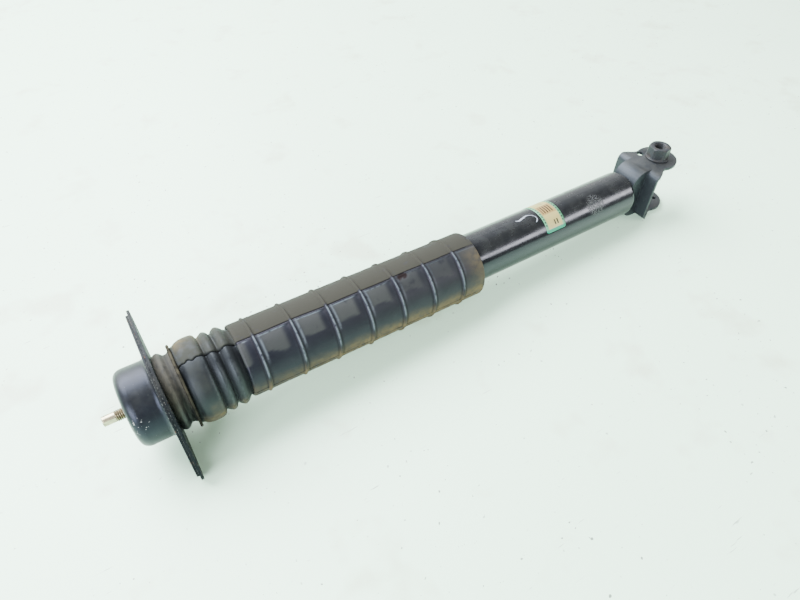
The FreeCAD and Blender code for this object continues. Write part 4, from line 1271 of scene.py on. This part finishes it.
class SHOCK_OT_welds(bpy.types.Operator):
    """Rippled weld beads between the fork and the closed end"""
    bl_idname = "shock.welds"
    bl_label = "Weld beads"

    def execute(self, context):
        pts = own_points("weld_bead")
        radius = reach("weld_bead") - 2.2
        high = pts[:, 2].max()
        enamel = bpy.data.materials["Gloss black tube enamel"]
        sizes = {"Radius": float(radius), "From": 0.0, "To": 1.0, "Count": 10, "Size": 2.1,
                 "Seed": 4, "Paint": enamel}
        tree = self.bead_tree(sizes)
        stands_for = ("weld_bead",)
        for k, (start, end) in enumerate(self.runs(pts)):
            drops = int(math.radians(end - start) * radius / DROP_STEP)
            sizes.update({"From": math.radians(start), "To": math.radians(end),
                          "Count": max(3, drops), "Seed": 4 + k})
            at_end = Matrix.Translation((0, 0, high - 0.9))
            bead = grown(f"weld_ripples_{k + 1}", tree, sizes, at_end)
            settle(bead, DAMPER, stands_for=stands_for)
            stands_for = ()
        return {"FINISHED"}

    def runs(self, pts, gap=8):
        """First and last angle of each bead, in degrees, where gap or more lies between them."""
        turn = np.degrees(np.arctan2(pts[:, 1], pts[:, 0]))
        found = []
        for t in np.unique(np.round(turn / 2).astype(int) * 2):
            if found and t - found[-1][1] <= gap:
                found[-1][1] = t
            else:
                found.append([t, t])
        if len(found) > 1 and found[0][0] + 360 - found[-1][1] <= gap:
            found[0][0] = found[-1][0] - 360
            found.pop()
        return found

    def bead_tree(self, sizes):
        """Overlapping flattened drops along an arc, each a little different in size."""
        tree, given, result = geometry_tree("weld_ripples", sizes)
        ask = given.outputs
        line = add(tree, "GeometryNodeMeshLine", {"Count": ask["Count"]})
        index = add(tree, "GeometryNodeInputIndex")
        last = add(tree, "ShaderNodeMath", {0: ask["Count"], 1: 1.0}, operation="SUBTRACT")
        share = add(tree, "ShaderNodeMath", {0: index.outputs[0], 1: last.outputs[0]},
                    operation="DIVIDE")
        angle = add(tree, "ShaderNodeMapRange", {"Value": share.outputs[0], "To Min": ask["From"],
                                                 "To Max": ask["To"]})
        around = []
        for wave in ("COSINE", "SINE"):
            unit = add(tree, "ShaderNodeMath", {0: angle.outputs[0]}, operation=wave)
            around.append(add(tree, "ShaderNodeMath", {0: unit.outputs[0], 1: ask["Radius"]},
                              operation="MULTIPLY").outputs[0])
        spot = add(tree, "ShaderNodeCombineXYZ", {"X": around[0], "Y": around[1]})
        arc = add(tree, "GeometryNodeSetPosition", {"Geometry": line.outputs[0],
                                                    "Position": spot.outputs[0]})
        drop = add(tree, "GeometryNodeMeshUVSphere", {"Segments": 14, "Rings": 8,
                                                      "Radius": ask["Size"]})
        swell = add(tree, "FunctionNodeRandomValue", {2: 0.86, 3: 1.0, "Seed": ask["Seed"]},
                    data_type="FLOAT")
        turn = add(tree, "ShaderNodeCombineXYZ", {"Z": angle.outputs[0]})
        flat = add(tree, "GeometryNodeTransform", {"Geometry": drop.outputs["Mesh"],
                                                   "Scale": (0.95, 0.5, 0.62)})
        copies = add(tree, "GeometryNodeInstanceOnPoints",
                     {"Points": arc.outputs[0], "Instance": flat.outputs[0],
                      "Rotation": turn.outputs[0], "Scale": swell.outputs[1]})
        close_tree(tree, copies, ask["Paint"], result)
        return tree


class SHOCK_OT_stage(bpy.types.Operator):
    """Pale floor, soft studio light and the camera"""
    bl_idname = "shock.stage"
    bl_label = "Floor, light and camera"

    def execute(self, context):
        low, half = CAD_BOX[0].z, FLOOR_HALF
        mesh = bpy.data.meshes.new("floor")
        corners = ((-half, -half), (half, -half), (half, half), (-half, half))
        mesh.from_pydata([(x, y, low) for x, y in corners], [], [(0, 1, 2, 3)])
        mesh.materials.append(floor_sheet())
        floor = bpy.data.objects.new("floor", mesh)
        context.scene.collection.objects.link(floor)
        for name, facts in LAMPS.items():
            self.light(name, *facts)
        context.scene.world = self.room()
        self.camera(context)
        return {"FINISHED"}

    def room(self):
        """A dim room, brighter towards the pale wall behind the shock."""
        world = bpy.data.worlds.new("room")
        world.use_nodes = True
        tree = world.node_tree
        tree.nodes.clear()
        way = add(tree, "ShaderNodeTexCoord").outputs["Generated"]
        wall = add(tree, "ShaderNodeSeparateXYZ", {0: way}).outputs["Y"]
        glow = add(tree, "ShaderNodeMapRange", {"Value": wall, "From Min": -0.15, "From Max": 0.75,
                                                "To Min": 0.6, "To Max": 2.4},
                   interpolation_type="SMOOTHSTEP")
        sky = add(tree, "ShaderNodeBackground", {"Color": linear("f1f5f4"),
                                                 "Strength": glow.outputs["Result"]})
        add(tree, "ShaderNodeOutputWorld", {"Surface": sky.outputs[0]})
        return world

    def light(self, name, place, target, size, power, colour):
        lamp = bpy.data.lights.new(name, "AREA")
        lamp.shape = "RECTANGLE"
        lamp.size, lamp.size_y = size
        lamp.energy = power
        lamp.color = linear(colour)[:3]
        made = bpy.data.objects.new(name, lamp)
        made.location = place
        made.rotation_mode = "QUATERNION"
        made.rotation_quaternion = (Vector(target) - Vector(place)).to_track_quat("-Z", "Y")
        bpy.context.scene.collection.objects.link(made)

    def camera(self, context):
        """Stands over the can's side and looks along the shock towards its fork."""
        lens = bpy.data.cameras.new("camera")
        lens.lens, lens.sensor_width = CAMERA_LENS, CAMERA_SENSOR
        lens.clip_start, lens.clip_end = 0.02, 50.0
        made = bpy.data.objects.new("camera", lens)
        right = CAMERA_RIGHT.normalized()
        back = CAMERA_RIGHT.cross(CAMERA_UP).normalized()
        turn = Matrix((right, back.cross(right), back)).transposed().to_4x4()
        made.matrix_world = Matrix.Translation(CAMERA_PLACE) @ turn
        context.scene.collection.objects.link(made)
        context.scene.camera = made


OPERATORS = (SHOCK_OT_metalwork, SHOCK_OT_fasteners, SHOCK_OT_cushions, SHOCK_OT_bellows,
             SHOCK_OT_cover, SHOCK_OT_tube_marks, SHOCK_OT_welds, SHOCK_OT_stage)


class SHOCK_PT_panel(bpy.types.Panel):
    """Lists the shock's sizes, colours and pieces"""
    bl_idname = "SHOCK_PT_panel"
    bl_label = "Rear Shock Absorber"
    bl_space_type = "VIEW_3D"
    bl_region_type = "UI"
    bl_category = "Shock"

    def draw(self, context):
        for group in (context.scene.shock_shape, context.scene.shock_colours):
            box = self.layout.box()
            for key in group.__annotations__:
                box.prop(group, key)
        for operator in OPERATORS:
            self.layout.operator(operator.bl_idname)


CLASSES = (ShockShape, ShockColours, *OPERATORS, SHOCK_PT_panel)


def register():
    for item in CLASSES:
        bpy.utils.register_class(item)
    bpy.types.Scene.shock_shape = PointerProperty(type=ShockShape)
    bpy.types.Scene.shock_colours = PointerProperty(type=ShockColours)


def unregister():
    del bpy.types.Scene.shock_colours
    del bpy.types.Scene.shock_shape
    for item in reversed(CLASSES):
        bpy.utils.unregister_class(item)


def main():
    register()
    for operator in OPERATORS:
        group, name = operator.bl_idname.split(".")
        getattr(getattr(bpy.ops, group), name)()


if __name__ == "__main__":
    main()
